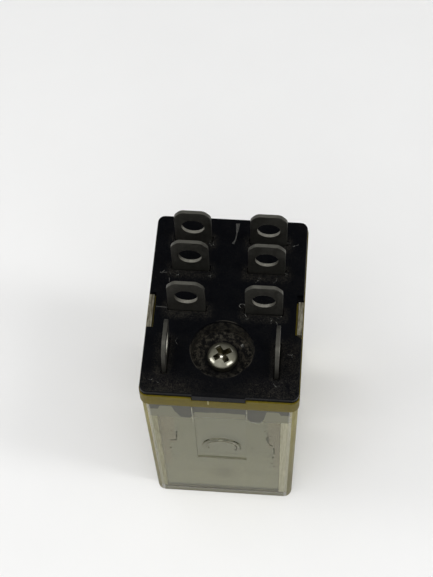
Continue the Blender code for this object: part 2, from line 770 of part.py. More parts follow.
def screw():
    """Pan-head screw with a cross recess, through the base into the core."""
    profile = [
        (0.0, SCREW_HEAD_CROWN),
        (SCREW_HEAD_RADIUS * 0.45, SCREW_HEAD_CROWN - 0.06),
        (SCREW_HEAD_RADIUS * 0.82, SCREW_HEAD_CROWN - 0.28),
        (SCREW_HEAD_RADIUS, SCREW_HEAD_EDGE),
        (SCREW_HEAD_RADIUS, SCREW_HEAD_SEAT + 0.1),
        (SCREW_HEAD_RADIUS - 0.1, SCREW_HEAD_SEAT),
        (SCREW_SHANK_RADIUS, SCREW_HEAD_SEAT),
        (SCREW_SHANK_RADIUS, SCREW_TIP + 0.4),
        (SCREW_SHANK_RADIUS - 0.4, SCREW_TIP),
        (0.0, SCREW_TIP),
    ]
    part = add_part("screw", turned(profile, "Z", (0.0, SOLENOID_Y), ROUND_SIDES), bright_nickel())
    arms = ((CROSS_HALF_LENGTH, CROSS_HALF_WIDTH), (CROSS_HALF_WIDTH, CROSS_HALF_LENGTH))
    for number, (half_x, half_y) in enumerate(arms):
        bottom = SCREW_HEAD_CROWN - CROSS_DEPTH
        bottom_outline = rectangle(-half_x * 0.45, half_x * 0.45, -half_y * 0.45, half_y * 0.45)
        top_outline = rectangle(-half_x, half_x, -half_y, half_y)
        arm = loft([(bottom_outline, bottom), (top_outline, SCREW_HEAD_CROWN),
                    (top_outline, SCREW_HEAD_CROWN + 0.5)])
        turn = Matrix.Rotation(SCREW_TURN, 4, "Z")
        bmesh.ops.transform(arm, matrix=Matrix.Translation((0.0, SOLENOID_Y, 0.0)) @ turn, verts=arm.verts)
        combine(part, f"cross_cutter_{number}", arm, "DIFFERENCE")


def yoke():
    """L-shaped iron frame with a lug for the return spring."""
    low_plate = YOKE_TOP - YOKE_THICKNESS
    inner_back = YOKE_BACK - YOKE_THICKNESS
    outline = [
        (YOKE_FRONT, low_plate),
        (inner_back, low_plate),
        (inner_back, YOKE_LOW),
        (YOKE_BACK, YOKE_LOW),
        (YOKE_BACK, YOKE_TOP),
        (YOKE_FRONT, YOKE_TOP),
    ]
    part = add_part("yoke", prism(outline, "X", -YOKE_HALF_WIDTH, YOKE_HALF_WIDTH), plated_iron())
    lug = prism(rectangle(-SPRING_LUG_HALF_WIDTH, SPRING_LUG_HALF_WIDTH, inner_back + 0.5, SPRING_LUG_BACK),
                "Z", SPRING_LUG_LOW, SPRING_LUG_LOW + SPRING_LUG_THICKNESS)
    combine(part, "spring_lug", lug, "UNION")
    hole = prism(circle(SCREW_HOLE_RADIUS, SMALL_ROUND_SIDES, (0.0, SOLENOID_Y)), "Z",
                 low_plate - 1.0, YOKE_TOP + 1.0)
    combine(part, "yoke_hole_cutter", hole, "DIFFERENCE")


def core():
    """Iron core with a wide pole face below and a screw bore on top."""
    profile = [
        (0.0, POLE_FACE),
        (POLE_RADIUS, POLE_FACE),
        (POLE_RADIUS, POLE_FACE + POLE_THICKNESS),
        (CORE_RADIUS, POLE_FACE + POLE_THICKNESS),
        (CORE_RADIUS, CORE_TOP),
        (CORE_BORE_RADIUS, CORE_TOP),
        (CORE_BORE_RADIUS, CORE_BORE_END),
        (0.0, CORE_BORE_END),
    ]
    add_part("core", turned(profile, "Z", (0.0, SOLENOID_Y), ROUND_SIDES), plated_iron())


def bobbin():
    """Moulded bobbin: two flanges and a tube around the core."""
    outline = [(x, y + SOLENOID_Y) for x, y in rounded_rectangle(BOBBIN_HALF_WIDTH, BOBBIN_HALF_DEPTH, 0.8)]
    part = add_part("bobbin", prism(outline, "Z", BOBBIN_LOW, BOBBIN_LOW + BOBBIN_FLANGE), nylon())
    axis = (0.0, SOLENOID_Y)
    hub = prism(circle(BOBBIN_TUBE_RADIUS, ROUND_SIDES, axis), "Z", BOBBIN_LOW + 0.4, BOBBIN_TOP - 0.4)
    combine(part, "bobbin_tube", hub, "UNION")
    upper = prism(outline, "Z", BOBBIN_TOP - BOBBIN_FLANGE, BOBBIN_TOP)
    combine(part, "bobbin_upper_flange", upper, "UNION")
    bore = prism(circle(BOBBIN_BORE_RADIUS, ROUND_SIDES, axis), "Z", BOBBIN_LOW - 1.0, BOBBIN_TOP + 1.0)
    combine(part, "bobbin_bore_cutter", bore, "DIFFERENCE")


def ring(name, inner, outer, end_gap, look):
    """Plain sleeve on the solenoid's axis between the bobbin's flanges."""
    low = BOBBIN_LOW + BOBBIN_FLANGE + end_gap
    high = BOBBIN_TOP - BOBBIN_FLANGE - end_gap
    profile = [(inner, low), (outer, low), (outer, high), (inner, high)]
    add_part(name, turned(profile, "Z", (0.0, SOLENOID_Y), ROUND_SIDES), look)


def coil_lead(name, side):
    """Winding's end, from the coil to the tail of its terminal."""
    tail_face = COIL_BLADE_X - SHANK_THICKNESS / 2 - COIL_WIRE_RADIUS - 0.08
    path = smooth_path([
        (TAPE_OUTER_RADIUS + 0.35, SOLENOID_Y - 0.4, 25.2),
        (TAPE_OUTER_RADIUS + 0.75, SOLENOID_Y - 0.9, 26.0),
        (tail_face - 0.3, COIL_BLADE_Y + 0.2, 26.3),
        (tail_face, COIL_BLADE_Y, 27.2),
    ], 5)
    mesh = tube(path, COIL_WIRE_RADIUS)
    if side < 0:
        mesh = mirrored(mesh)
    add_part(name, mesh, enamelled_copper())


def front_card():
    """Thin insulating card, notched at the top around the base's tongue."""
    outline = [
        (CARD_LEFT, CARD_LOW),
        (CARD_RIGHT, CARD_LOW),
        (CARD_RIGHT, CARD_SHOULDER),
        (CARD_TAB_OUTER, CARD_SHOULDER),
        (CARD_TAB_OUTER, CARD_TOP),
        (CARD_GAP_HALF_WIDTH, CARD_TOP),
        (CARD_GAP_HALF_WIDTH, CARD_GAP_LOW),
        (-CARD_GAP_HALF_WIDTH, CARD_GAP_LOW),
        (-CARD_GAP_HALF_WIDTH, CARD_TOP),
        (-CARD_TAB_OUTER, CARD_TOP),
        (-CARD_TAB_OUTER, CARD_SHOULDER),
        (CARD_LEFT, CARD_SHOULDER),
    ]
    add_part("front_card", prism(outline, "Y", CARD_FRONT, CARD_BACK), grey_card())


# ---------------------------------------------------------- armature group

def armature_pivot():
    """Empty on the hinge axis, turned to the released pose."""
    pivot = bpy.data.objects.new("armature_pivot", None)
    pivot.location = (0.0, HINGE_Y * MM, HINGE_Z * MM)
    pivot.rotation_euler = (RELEASE_ANGLE, 0.0, 0.0)
    bpy.context.scene.collection.objects.link(pivot)
    return pivot


def armature(pivot):
    """Flat iron armature with a narrower tail and a hook tab."""
    outline = [
        (-ARMATURE_HALF_WIDTH, ARMATURE_FRONT),
        (ARMATURE_HALF_WIDTH, ARMATURE_FRONT),
        (ARMATURE_HALF_WIDTH, TAIL_START),
        (TAIL_HALF_WIDTH, TAIL_START),
        (TAIL_HALF_WIDTH, TAIL_END),
        (-TAIL_HALF_WIDTH, TAIL_END),
        (-TAIL_HALF_WIDTH, TAIL_START),
        (-ARMATURE_HALF_WIDTH, TAIL_START),
    ]
    plate = prism(outline, "Z", ARMATURE_TOP - ARMATURE_THICKNESS, ARMATURE_TOP)
    part = add_part("armature", plate, plated_iron(), pivot)
    tab = prism(rectangle(-HOOK_TAB_HALF_WIDTH, HOOK_TAB_HALF_WIDTH, HOOK_TAB_FRONT, HOOK_TAB_BACK),
                "Z", ARMATURE_TOP - 0.5, HOOK_TAB_TOP)
    combine(part, "hook_tab", tab, "UNION", pivot)
    holes = []
    for side in (-1, 1):
        centre = (side * CARRIER_RIVET_X, CARRIER_RIVET_Y)
        holes.append(prism(circle(CARRIER_RIVET_RADIUS + 0.15, SMALL_ROUND_SIDES, centre), "Z",
                           ARMATURE_TOP - ARMATURE_THICKNESS - 1.0, ARMATURE_TOP + 1.0))
    combine(part, "armature_hole_cutters", merged(holes), "DIFFERENCE", pivot)


def carrier(pivot):
    """Moulded block on the armature's tail, with stakes for the springs."""
    outline = [
        (-CARRIER_HALF_WIDTH, CARRIER_FRONT),
        (-CARRIER_NOTCH_HALF_WIDTH, CARRIER_FRONT),
        (-CARRIER_NOTCH_HALF_WIDTH, CARRIER_NOTCH_BACK),
        (CARRIER_NOTCH_HALF_WIDTH, CARRIER_NOTCH_BACK),
        (CARRIER_NOTCH_HALF_WIDTH, CARRIER_FRONT),
        (CARRIER_HALF_WIDTH, CARRIER_FRONT),
        (CARRIER_HALF_WIDTH, CARRIER_BACK),
        (-CARRIER_HALF_WIDTH, CARRIER_BACK),
    ]
    part = add_part("carrier", prism(outline, "Z", CARRIER_LOW, CARRIER_TOP), red_phenolic(), pivot)
    stake = [
        (0.0, CARRIER_BACK - 0.5),
        (STAKE_RADIUS, CARRIER_BACK - 0.5),
        (STAKE_RADIUS, STAKE_HEAD_START),
        (STAKE_HEAD_RADIUS, STAKE_HEAD_START),
        (STAKE_HEAD_RADIUS * 0.6, STAKE_END),
        (0.0, STAKE_END),
    ]
    stakes = []
    holes = []
    for side in (-1, 1):
        for height in STAKE_HEIGHTS:
            stakes.append(turned(stake, "Y", (side * CONTACT_X, height), SMALL_ROUND_SIDES))
        centre = (side * CARRIER_RIVET_X, CARRIER_RIVET_Y)
        holes.append(prism(circle(CARRIER_RIVET_RADIUS + 0.15, SMALL_ROUND_SIDES, centre), "Z",
                           CARRIER_LOW - 1.0, CARRIER_RIVET_TOP + 0.15))
    combine(part, "spring_stakes", merged(stakes), "UNION", pivot)
    combine(part, "carrier_hole_cutters", merged(holes), "DIFFERENCE", pivot)


def carrier_rivet(name, side, pivot):
    """Rivet that holds the carrier on the armature's tail."""
    head_top = ARMATURE_TOP - ARMATURE_THICKNESS - 0.1
    head_low = head_top - 0.5
    profile = [
        (0.0, head_low),
        (CARRIER_RIVET_HEAD_RADIUS * 0.7, head_low),
        (CARRIER_RIVET_HEAD_RADIUS, head_low + 0.3),
        (CARRIER_RIVET_HEAD_RADIUS, head_top),
        (CARRIER_RIVET_RADIUS, head_top),
        (CARRIER_RIVET_RADIUS, CARRIER_RIVET_TOP),
        (0.0, CARRIER_RIVET_TOP),
    ]
    centre = (side * CARRIER_RIVET_X, CARRIER_RIVET_Y)
    add_part(name, turned(profile, "Z", centre, SMALL_ROUND_SIDES), bright_nickel(), pivot)


def moving_spring(name, side, pivot):
    """Leaf spring from the carrier up to its contact."""
    centre = side * CONTACT_X
    corner = 0.8
    outline = [
        (centre - LEAF_HALF_WIDTH, LEAF_LOW),
        (centre + LEAF_HALF_WIDTH, LEAF_LOW),
        (centre + LEAF_HALF_WIDTH, LEAF_TOP - corner),
        (centre + LEAF_HALF_WIDTH - corner, LEAF_TOP),
        (centre - LEAF_HALF_WIDTH + corner, LEAF_TOP),
        (centre - LEAF_HALF_WIDTH, LEAF_TOP - corner),
    ]
    leaf = prism(outline, "Y", LEAF_FRONT, LEAF_FRONT + LEAF_THICKNESS)
    part = add_part(name, leaf, spring_bronze(), pivot)
    holes = [rivet_hole(centre, LEAF_FRONT)]
    for height in STAKE_HEIGHTS:
        holes.append(prism(circle(STAKE_RADIUS + 0.15, SMALL_ROUND_SIDES, (centre, height)), "Y",
                           LEAF_FRONT - 1.0, LEAF_FRONT + 1.0))
    combine(part, name + "_hole_cutter", merged(holes), "DIFFERENCE", pivot)


def moving_contact(name, side, pivot):
    """Silver rivet with a contact face on both sides of its spring."""
    front_seat = LEAF_FRONT - CONTACT_SEAT_GAP
    back_seat = LEAF_FRONT + LEAF_THICKNESS + CONTACT_SEAT_GAP
    face = front_seat - MOVING_CONTACT_HEAD
    back_face = back_seat + MOVING_CONTACT_HEAD
    profile = rivet_profile(face, MOVING_CONTACT_HEAD, front_seat, back_seat, back_face,
                            MOVING_CONTACT_RADIUS, MOVING_CONTACT_RADIUS)
    mesh = turned(profile, "Y", (side * CONTACT_X, CONTACT_Z), SMALL_ROUND_SIDES)
    add_part(name, mesh, contact_silver(), pivot)


def return_spring():
    """Tension spring behind the yoke, from its lug to the armature's tail."""
    steps_per_turn = 10
    total = SPRING_TURNS * steps_per_turn
    points = []
    for step in range(total + 1):
        share = step / total
        angle = 2.0 * math.pi * SPRING_TURNS * share
        height = SPRING_LOW + (SPRING_TOP - SPRING_LOW) * share
        points.append((SPRING_RADIUS * math.cos(angle), SPRING_Y + SPRING_RADIUS * math.sin(angle), height))
    add_part("return_spring", tube(points, SPRING_WIRE_RADIUS, 6), bright_nickel())


def braid(name, side):
    """Flexible lead from a common terminal's tail to its leaf spring."""
    path = smooth_path([
        (COMMON_TAIL_OUTER - 0.55, ROW_COMMON_Y + 0.85, 28.2),
        (COMMON_TAIL_OUTER - 0.45, ROW_COMMON_Y + 0.9, 26.6),
        (COMMON_TAIL_OUTER - 0.15, ROW_COMMON_Y + 1.9, 22.5),
        (COMMON_TAIL_OUTER - 0.1, ROW_COMMON_Y + 4.4, 17.6),
        (COMMON_TAIL_OUTER - 0.8, ROW_COMMON_Y + 6.4, 15.2),
        (CONTACT_X + 0.9, ROW_COMMON_Y + 7.75, 15.6),
        (CONTACT_X + 0.6, ROW_COMMON_Y + 8.0, 17.2),
    ], 5)
    mesh = tube(path, BRAID_RADIUS)
    if side < 0:
        mesh = mirrored(mesh)
    add_part(name, mesh, copper_braid())


# ---------------------------------------------------------------- assembly

def build():
    """Remove what the scene holds, then make every piece."""
    for existing in list(bpy.data.objects):
        bpy.data.objects.remove(existing, do_unlink=True)

    base()
    cover()
    screw()
    yoke()
    core()
    bobbin()
    ring("winding", WINDING_INNER_RADIUS, WINDING_OUTER_RADIUS, WINDING_END_GAP, enamelled_copper())
    ring("coil_tape", TAPE_INNER_RADIUS, TAPE_OUTER_RADIUS, TAPE_END_GAP, wrapping_tape())
    front_card()
    return_spring()

    pivot = armature_pivot()
    armature(pivot)
    carrier(pivot)
    for word, side in (("left", -1), ("right", 1)):
        contact_terminal("terminal_no_" + word, side, ROW_NORMALLY_OPEN_Y)
        contact_terminal("terminal_nc_" + word, side, ROW_NORMALLY_CLOSED_Y)
        common_terminal("terminal_com_" + word, side)
        coil_terminal("terminal_coil_" + word, side)
        fixed_contact("contact_no_" + word, side, ROW_NORMALLY_OPEN_Y, -1)
        fixed_contact("contact_nc_" + word, side, ROW_NORMALLY_CLOSED_Y, 1)
        coil_lead("coil_lead_" + word, side)
        braid("braid_" + word, side)
        carrier_rivet("carrier_rivet_" + word, side, pivot)
        moving_spring("moving_spring_" + word, side, pivot)
        moving_contact("moving_contact_" + word, side, pivot)


build()
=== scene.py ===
"""Looks of the plug-in relay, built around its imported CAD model.

Lengths are in metres, in the CAD's own frame: +X right, +Y back (contact
side), +Z up, with the relay standing on the closed end of its clear cover.
"""
import math
import random
from functools import partial, reduce

import bmesh
import bpy
from mathutils import Matrix, Vector


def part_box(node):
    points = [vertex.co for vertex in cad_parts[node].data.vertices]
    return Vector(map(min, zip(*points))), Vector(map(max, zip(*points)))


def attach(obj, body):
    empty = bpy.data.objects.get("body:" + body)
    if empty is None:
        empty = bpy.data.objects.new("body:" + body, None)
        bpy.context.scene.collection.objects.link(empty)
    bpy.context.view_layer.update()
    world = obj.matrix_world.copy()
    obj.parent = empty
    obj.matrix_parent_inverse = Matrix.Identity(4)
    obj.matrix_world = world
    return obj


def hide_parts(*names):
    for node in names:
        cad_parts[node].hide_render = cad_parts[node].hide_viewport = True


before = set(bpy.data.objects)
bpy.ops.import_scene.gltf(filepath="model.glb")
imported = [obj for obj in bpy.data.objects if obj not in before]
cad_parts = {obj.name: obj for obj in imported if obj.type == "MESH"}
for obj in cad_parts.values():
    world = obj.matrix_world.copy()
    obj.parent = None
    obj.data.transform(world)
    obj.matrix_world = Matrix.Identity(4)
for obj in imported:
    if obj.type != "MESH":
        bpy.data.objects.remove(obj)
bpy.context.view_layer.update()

MM = 0.001
MICRON = 0.001 * MM
ROOT = "relay"
ARMATURE = "armature"
SIDES = (("left", -1), ("right", 1))

# Camera, as the angle and distance from which the relay is seen
CAMERA_AZIMUTH = math.radians(7.14)
CAMERA_ELEVATION = math.radians(60.36)
CAMERA_ROLL = math.radians(-3.11)
CAMERA_DISTANCE = 188.9 * MM
CAMERA_TARGET = Vector((-1.48, 2.32, 36.0)) * MM
CAMERA_LENS = 85.7


def corner(node, which):
    """Lowest (0) or highest (1) corner of a CAD node."""
    return Vector(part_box(node)[which])


# Places read from the CAD nodes' boxes
BASE_TOP = corner("base", 1).z
COVER_FOOT = corner("cover", 0).z
CARD_FRONT = corner("front_card", 0).y
SCREW_LOW, SCREW_HIGH = corner("screw", 0), corner("screw", 1)
SCREW_AXIS = (SCREW_LOW + SCREW_HIGH) / 2

# Places inside the nodes, as the CAD has them
RIM_LOW = 32.3 * MM
LUG_LOW = BASE_TOP - 1.1 * MM
HEM_TOP = 0.35 * MM
RECESS_RADIUS = 4.27 * MM
RIB_INNER = 8.2 * MM
RIB_OUTER = 9.4 * MM
RIB_FRONT = -12.7 * MM
RIB_BACK = -11.6 * MM
RIB_TOP = 27.8 * MM
CORNER_X = 9.76 * MM
CORNER_Y = 12.4 * MM
PANEL_HALF_WIDTH = 3.7 * MM
PANEL_LOW = 13.9 * MM
PANEL_HIGH = 31.0 * MM
PANEL_FRONT = -13.2 * MM
CONTACT_X = 5.25 * MM
BLADE_HALF_WIDTH = 2.55 * MM
ROWS_Y = (10.13 * MM, 5.4 * MM, -1.0 * MM)
COIL_BLADE_X = 7.5 * MM
COIL_BLADE_Y = -8.4 * MM
BLADE_MIDDLE_Z = BASE_TOP + 3.45 * MM
HOLE_ZONE = 1.8 * MM

# The cover's front wall: its face at the foot, and its lean outward with height
WALL_FOOT_Y = -13.54 * MM
WALL_LEAN = 0.31 / 32.0

# Clean-up of a CAD shape: what counts as one point, as flat and as a hard edge
SAME_PLACE = 0.1 * MICRON
FLAT_ANGLE = math.radians(0.5)
HARD_ANGLE = math.radians(30.0)

# Shapes that only the visual model has
BLADE_EDGE = 0.11 * MM
BLADE_EDGE_SHARE = 0.45
SHOULDER_RADIUS = 0.4 * MM
COIL_BLADE_LEAN = math.tan(math.radians(2.4))
SCREW_TURN = math.radians(33.0)
HEAD_HEIGHT = 1.45 * MM
HEAD_DOME = 0.62 * MM
HEAD_CURVE = 0.86
HEAD_BREAK = 0.12 * MM
SHANK_RADIUS = 1.45 * MM
SHANK_CHAMFER = 0.4 * MM
ARM_END_GLINT_REACH = 1.43
ZONE_EDGE = 0.02 * MM
LINT_LIFT = 0.02 * MM
ARCH_DEPTH = 0.09 * MM
COVER_IOR = 1.31
TURNS_SCALE = 1750.0


# ---- mesh helpers

def placed(name, data):
    """Object that shows some data, in the scene."""
    made = bpy.data.objects.new(name, data)
    bpy.context.scene.collection.objects.link(made)
    return made


def stored(name, mesh):
    """Blender mesh from a bmesh, which is freed."""
    data = bpy.data.meshes.new(name)
    mesh.to_mesh(data)
    mesh.free()
    return data


def link(name, mesh, body, look, slot, smooth=40.0):
    """Object from a bmesh in metres, riding on a body, with its material."""
    data = stored(name, mesh)
    data.materials.append(look)
    data.shade_smooth()
    data.set_sharp_from_angle(angle=math.radians(smooth))
    piece = placed(name, data)
    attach(piece, body)
    return piece


def refined(node, name, body, look, slot, edge, weigh=None, reshape=None):
    """Finished copy of a CAD node's shape, with clean faces and round edges.

    weigh gives each hard edge its share of the rounding; reshape may bend the copy.
    """
    mesh = bmesh.new()
    mesh.from_mesh(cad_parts[node].data)
    bmesh.ops.remove_doubles(mesh, verts=mesh.verts, dist=SAME_PLACE)
    bmesh.ops.dissolve_limit(mesh, angle_limit=FLAT_ANGLE, verts=mesh.verts, edges=mesh.edges)
    if reshape:
        reshape(mesh)
    weights = mesh.edges.layers.float.new("bevel_weight_edge")
    for line in mesh.edges:
        if len(line.link_faces) == 2 and line.calc_face_angle() > HARD_ANGLE:
            middle = (line.verts[0].co + line.verts[1].co) / 2
            line[weights] = weigh(middle) if weigh else 1.0
    piece = link(name, mesh, body, look, slot, smooth=32.0)
    bevel = piece.modifiers.new("edge_round", "BEVEL")
    bevel.width = edge
    bevel.segments = 2
    bevel.limit_method = "WEIGHT"
    bevel.harden_normals = True
    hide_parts(node)
    return piece


def carved(mesh, cutter):
    """The first solid with the second one cut out of it."""
    pair = [placed(name, stored(name, source)) for name, source in (("solid", mesh), ("cutter", cutter))]
    cut = pair[0].modifiers.new("cut", "BOOLEAN")
    cut.operation = "DIFFERENCE"
    cut.solver = "EXACT"
    cut.object = pair[1]
    shape = pair[0].evaluated_get(bpy.context.evaluated_depsgraph_get()).to_mesh()
    result = bmesh.new()
    result.from_mesh(shape)
    for made in pair:
        bpy.data.objects.remove(made)
    return result


def turned_mesh(profile, centre, sides):
    """Solid of revolution about a vertical axis; (radius, level) from top to bottom."""
    mesh = bmesh.new()
    rings = []
    for radius, level in profile:
        ring = []
        for step in range(sides if radius else 1):
            angle = 2.0 * math.pi * step / sides
            ring.append(mesh.verts.new((centre.x + radius * math.cos(angle),
                                        centre.y + radius * math.sin(angle), level)))
        rings.append(ring)
    for upper, lower in zip(rings, rings[1:]):
        for index in range(sides):
            following = (index + 1) % sides
            corners = []
            for ring, step in ((upper, index), (lower, index), (lower, following), (upper, following)):
                vert = ring[step % len(ring)]
                if vert not in corners:
                    corners.append(vert)
            mesh.faces.new(corners)
    bmesh.ops.recalc_face_normals(mesh, faces=mesh.faces)
    return mesh


def skin(mesh, rings):
    """Close rings of vertices, from low to high, into a solid with flat ends."""
    for lower, upper in zip(rings, rings[1:]):
        for index in range(len(lower)):
            following = (index + 1) % len(lower)
            mesh.faces.new((lower[index], lower[following], upper[following], upper[index]))
    mesh.faces.new(tuple(reversed(rings[0])))
    mesh.faces.new(tuple(rings[-1]))
    bmesh.ops.recalc_face_normals(mesh, faces=mesh.faces)


def tube_mesh(points, radii, sides=8):
    """Round wire through points; radii is one number or one for each point."""
    mesh = bmesh.new()
    points = [Vector(point) for point in points]
    if not isinstance(radii, (list, tuple)):
        radii = [radii] * len(points)
    rings = []
    side = None
    for index, point in enumerate(points):
        along = (points[min(index + 1, len(points) - 1)] - points[max(index - 1, 0)]).normalized()
        if side is None:
            side = along.orthogonal().normalized()
        side = (side - along * side.dot(along)).normalized()
        other = along.cross(side)
        ring = []
        for step in range(sides):
            angle = 2.0 * math.pi * step / sides
            offset = side * math.cos(angle) + other * math.sin(angle)
            ring.append(mesh.verts.new(point + offset * radii[index]))
        rings.append(ring)
    skin(mesh, rings)
    return mesh


def smooth_path(points, steps):
    """Catmull-Rom curve through the points."""
    points = [Vector(point) for point in points]
    points = [2 * points[0] - points[1]] + points + [2 * points[-1] - points[-2]]
    path = []
    for index in range(1, len(points) - 2):
        p0, p1, p2, p3 = points[index - 1:index + 3]
        for step in range(steps):
            t = step / steps
            path.append(0.5 * (2 * p1 + (p2 - p0) * t + (2 * p0 - 5 * p1 + 4 * p2 - p3) * t ** 2
                               + (3 * p1 - p0 - 3 * p2 + p3) * t ** 3))
    path.append(points[-2])
    return path


def ball(radius, fineness=2):
    """Round grain about the origin."""
    mesh = bmesh.new()
    bmesh.ops.create_icosphere(mesh, subdivisions=fineness, radius=radius)
    return mesh


def moved(mesh, way):
    """The bmesh, shifted."""
    bmesh.ops.translate(mesh, vec=way, verts=mesh.verts)
    return mesh


def joined(meshes):
    """One bmesh from several."""
    whole = bmesh.new()
    for mesh in meshes:
        data = stored("part", mesh)
        whole.from_mesh(data)
        bpy.data.meshes.remove(data)
    return whole


def camera_axes():
    """Right, up and backward directions of the camera."""
    back = Vector((math.sin(CAMERA_AZIMUTH) * math.cos(CAMERA_ELEVATION),
                   -math.cos(CAMERA_AZIMUTH) * math.cos(CAMERA_ELEVATION),
                   math.sin(CAMERA_ELEVATION)))
    right = Vector((0.0, 0.0, 1.0)).cross(back).normalized()
    up = back.cross(right)
    turn = Matrix.Rotation(CAMERA_ROLL, 3, back)
    return turn @ right, turn @ up, back


# ---- material building

class Look:
    """Principled material with a short way to add and join nodes."""

    def __init__(self, name, roughness=0.5, metallic=0.0, ior=1.5, specular=0.5,
                 tint=(1.0, 1.0, 1.0), transmission=0.0):
        self.material = bpy.data.materials.new(name)
        self.material.use_nodes = True
        self.tree = self.material.node_tree
        self.shader = self.tree.nodes["Principled BSDF"]
        self.fix(self.shader, {"Roughness": roughness, "Metallic": metallic, "IOR": ior,
                               "Specular IOR Level": specular, "Specular Tint": (*tint, 1.0),
                               "Transmission Weight": transmission})
        self.place = self.new("ShaderNodeTexCoord").outputs["Object"]

    def join(self, source, target):
        self.tree.links.new(source, target)

    def new(self, kind, operation=None):
        node = self.tree.nodes.new(kind)
        if operation:
            node.operation = operation
        return node

    def fix(self, node, values):
        """Set constant values on a node's sockets."""
        for socket, value in values.items():
            node.inputs[socket].default_value = value

    def mapped(self, kind, values, vector=None):
        """New node that takes coordinates, with constant values."""
        node = self.new(kind)
        self.fix(node, values)
        self.join(vector or self.place, node.inputs["Vector"])
        return node

    def stretched(self, scale):
        """Object coordinates scaled by a different number along each axis."""
        return self.mapped("ShaderNodeMapping", {"Scale": scale}).outputs["Vector"]

    def noise(self, scale, detail=3.0, roughness=0.55, distortion=0.0, stretch=None):
        """Mottling between 0 and 1; stretch scales it by axis as well."""
        values = {"Scale": scale, "Detail": detail, "Roughness": roughness, "Distortion": distortion}
        vector = self.stretched(stretch) if stretch else self.place
        return self.mapped("ShaderNodeTexNoise", values, vector).outputs["Fac"]

    def cells(self, scale):
        """Distance from the nearest of many scattered points."""
        return self.mapped("ShaderNodeTexVoronoi", {"Scale": scale}).outputs["Distance"]

    def wave(self, scale, distortion):
        """Level bands, one above another."""
        node = self.mapped("ShaderNodeTexWave", {"Scale": scale, "Distortion": distortion, "Detail": 0.0})
        node.bands_direction = "Z"
        return node.outputs["Fac"]

    def ramp(self, source, low, high, start=0.0, end=1.0):
        """Map a range of a value smoothly to another, clamped."""
        node = self.new("ShaderNodeMapRange")
        node.interpolation_type = "SMOOTHSTEP"
        self.fix(node, {"From Min": low, "From Max": high, "To Min": start, "To Max": end})
        self.join(source, node.inputs["Value"])
        return node.outputs["Result"]

    def math(self, operation, *values):
        node = self.new("ShaderNodeMath", operation)
        for socket, value in zip(node.inputs, values):
            if isinstance(value, (int, float)):
                socket.default_value = value
            else:
                self.join(value, socket)
        return node.outputs["Value"]

    def axis(self, which, vector=None):
        """X, Y or Z of the object coordinates, or of a vector."""
        return self.mapped("ShaderNodeSeparateXYZ", {}, vector).outputs[which]

    def facing(self, which):
        """X, Y or Z of the surface's own direction."""
        return self.axis(which, self.new("ShaderNodeNewGeometry").outputs["Normal"])

    def around(self, centre, flat=True):
        """Distance from a point, or from a vertical line through it."""
        height = 0.0 if flat else 1.0
        node = self.new("ShaderNodeVectorMath", "DISTANCE")
        self.join(self.stretched((1.0, 1.0, height)), node.inputs[0])
        node.inputs[1].default_value = (centre.x, centre.y, centre.z * height)
        return node.outputs["Value"]

    def span(self, source, centre, half):
        """How far a value lies outside a span, 0 inside it."""
        away = self.math("ABSOLUTE", self.math("SUBTRACT", source, centre))
        return self.math("MAXIMUM", self.math("SUBTRACT", away, half), 0.0)

    def within(self, source, centre, half):
        """1 inside a span, falling off at once outside it."""
        return self.ramp(self.span(source, centre, half), ZONE_EDGE, 0.0)

    def distance(self, first, second):
        return self.math("SQRT", self.math("ADD", self.product(first, first), self.product(second, second)))

    def strongest(self, *sources):
        return reduce(partial(self.math, "MAXIMUM"), sources)

    def product(self, *sources):
        return reduce(partial(self.math, "MULTIPLY"), sources)

    def blend(self, share, first, second):
        """Mix of two colours, each a socket or a colour."""
        node = self.new("ShaderNodeMix")
        node.data_type = "RGBA"
        self.join(share, node.inputs["Factor"])
        for socket, value in ((node.inputs["A"], first), (node.inputs["B"], second)):
            if isinstance(value, tuple):
                socket.default_value = (*value, 1.0)
            else:
                self.join(value, socket)
        return node.outputs["Result"]

    def colour(self, source):
        self.join(source, self.shader.inputs["Base Color"])

    def rough(self, source):
        self.join(source, self.shader.inputs["Roughness"])

    def bump(self, height, distance, strength, below=None):
        """Relief of some height, on top of another relief if one is given."""
        node = self.new("ShaderNodeBump")
        self.fix(node, {"Distance": distance * MICRON, "Strength": strength})
        self.join(height, node.inputs["Height"])
        if below:
            self.join(below, node.inputs["Normal"])
        self.join(node.outputs["Normal"], self.shader.inputs["Normal"])
        return node.outputs["Normal"]


# ---- materials

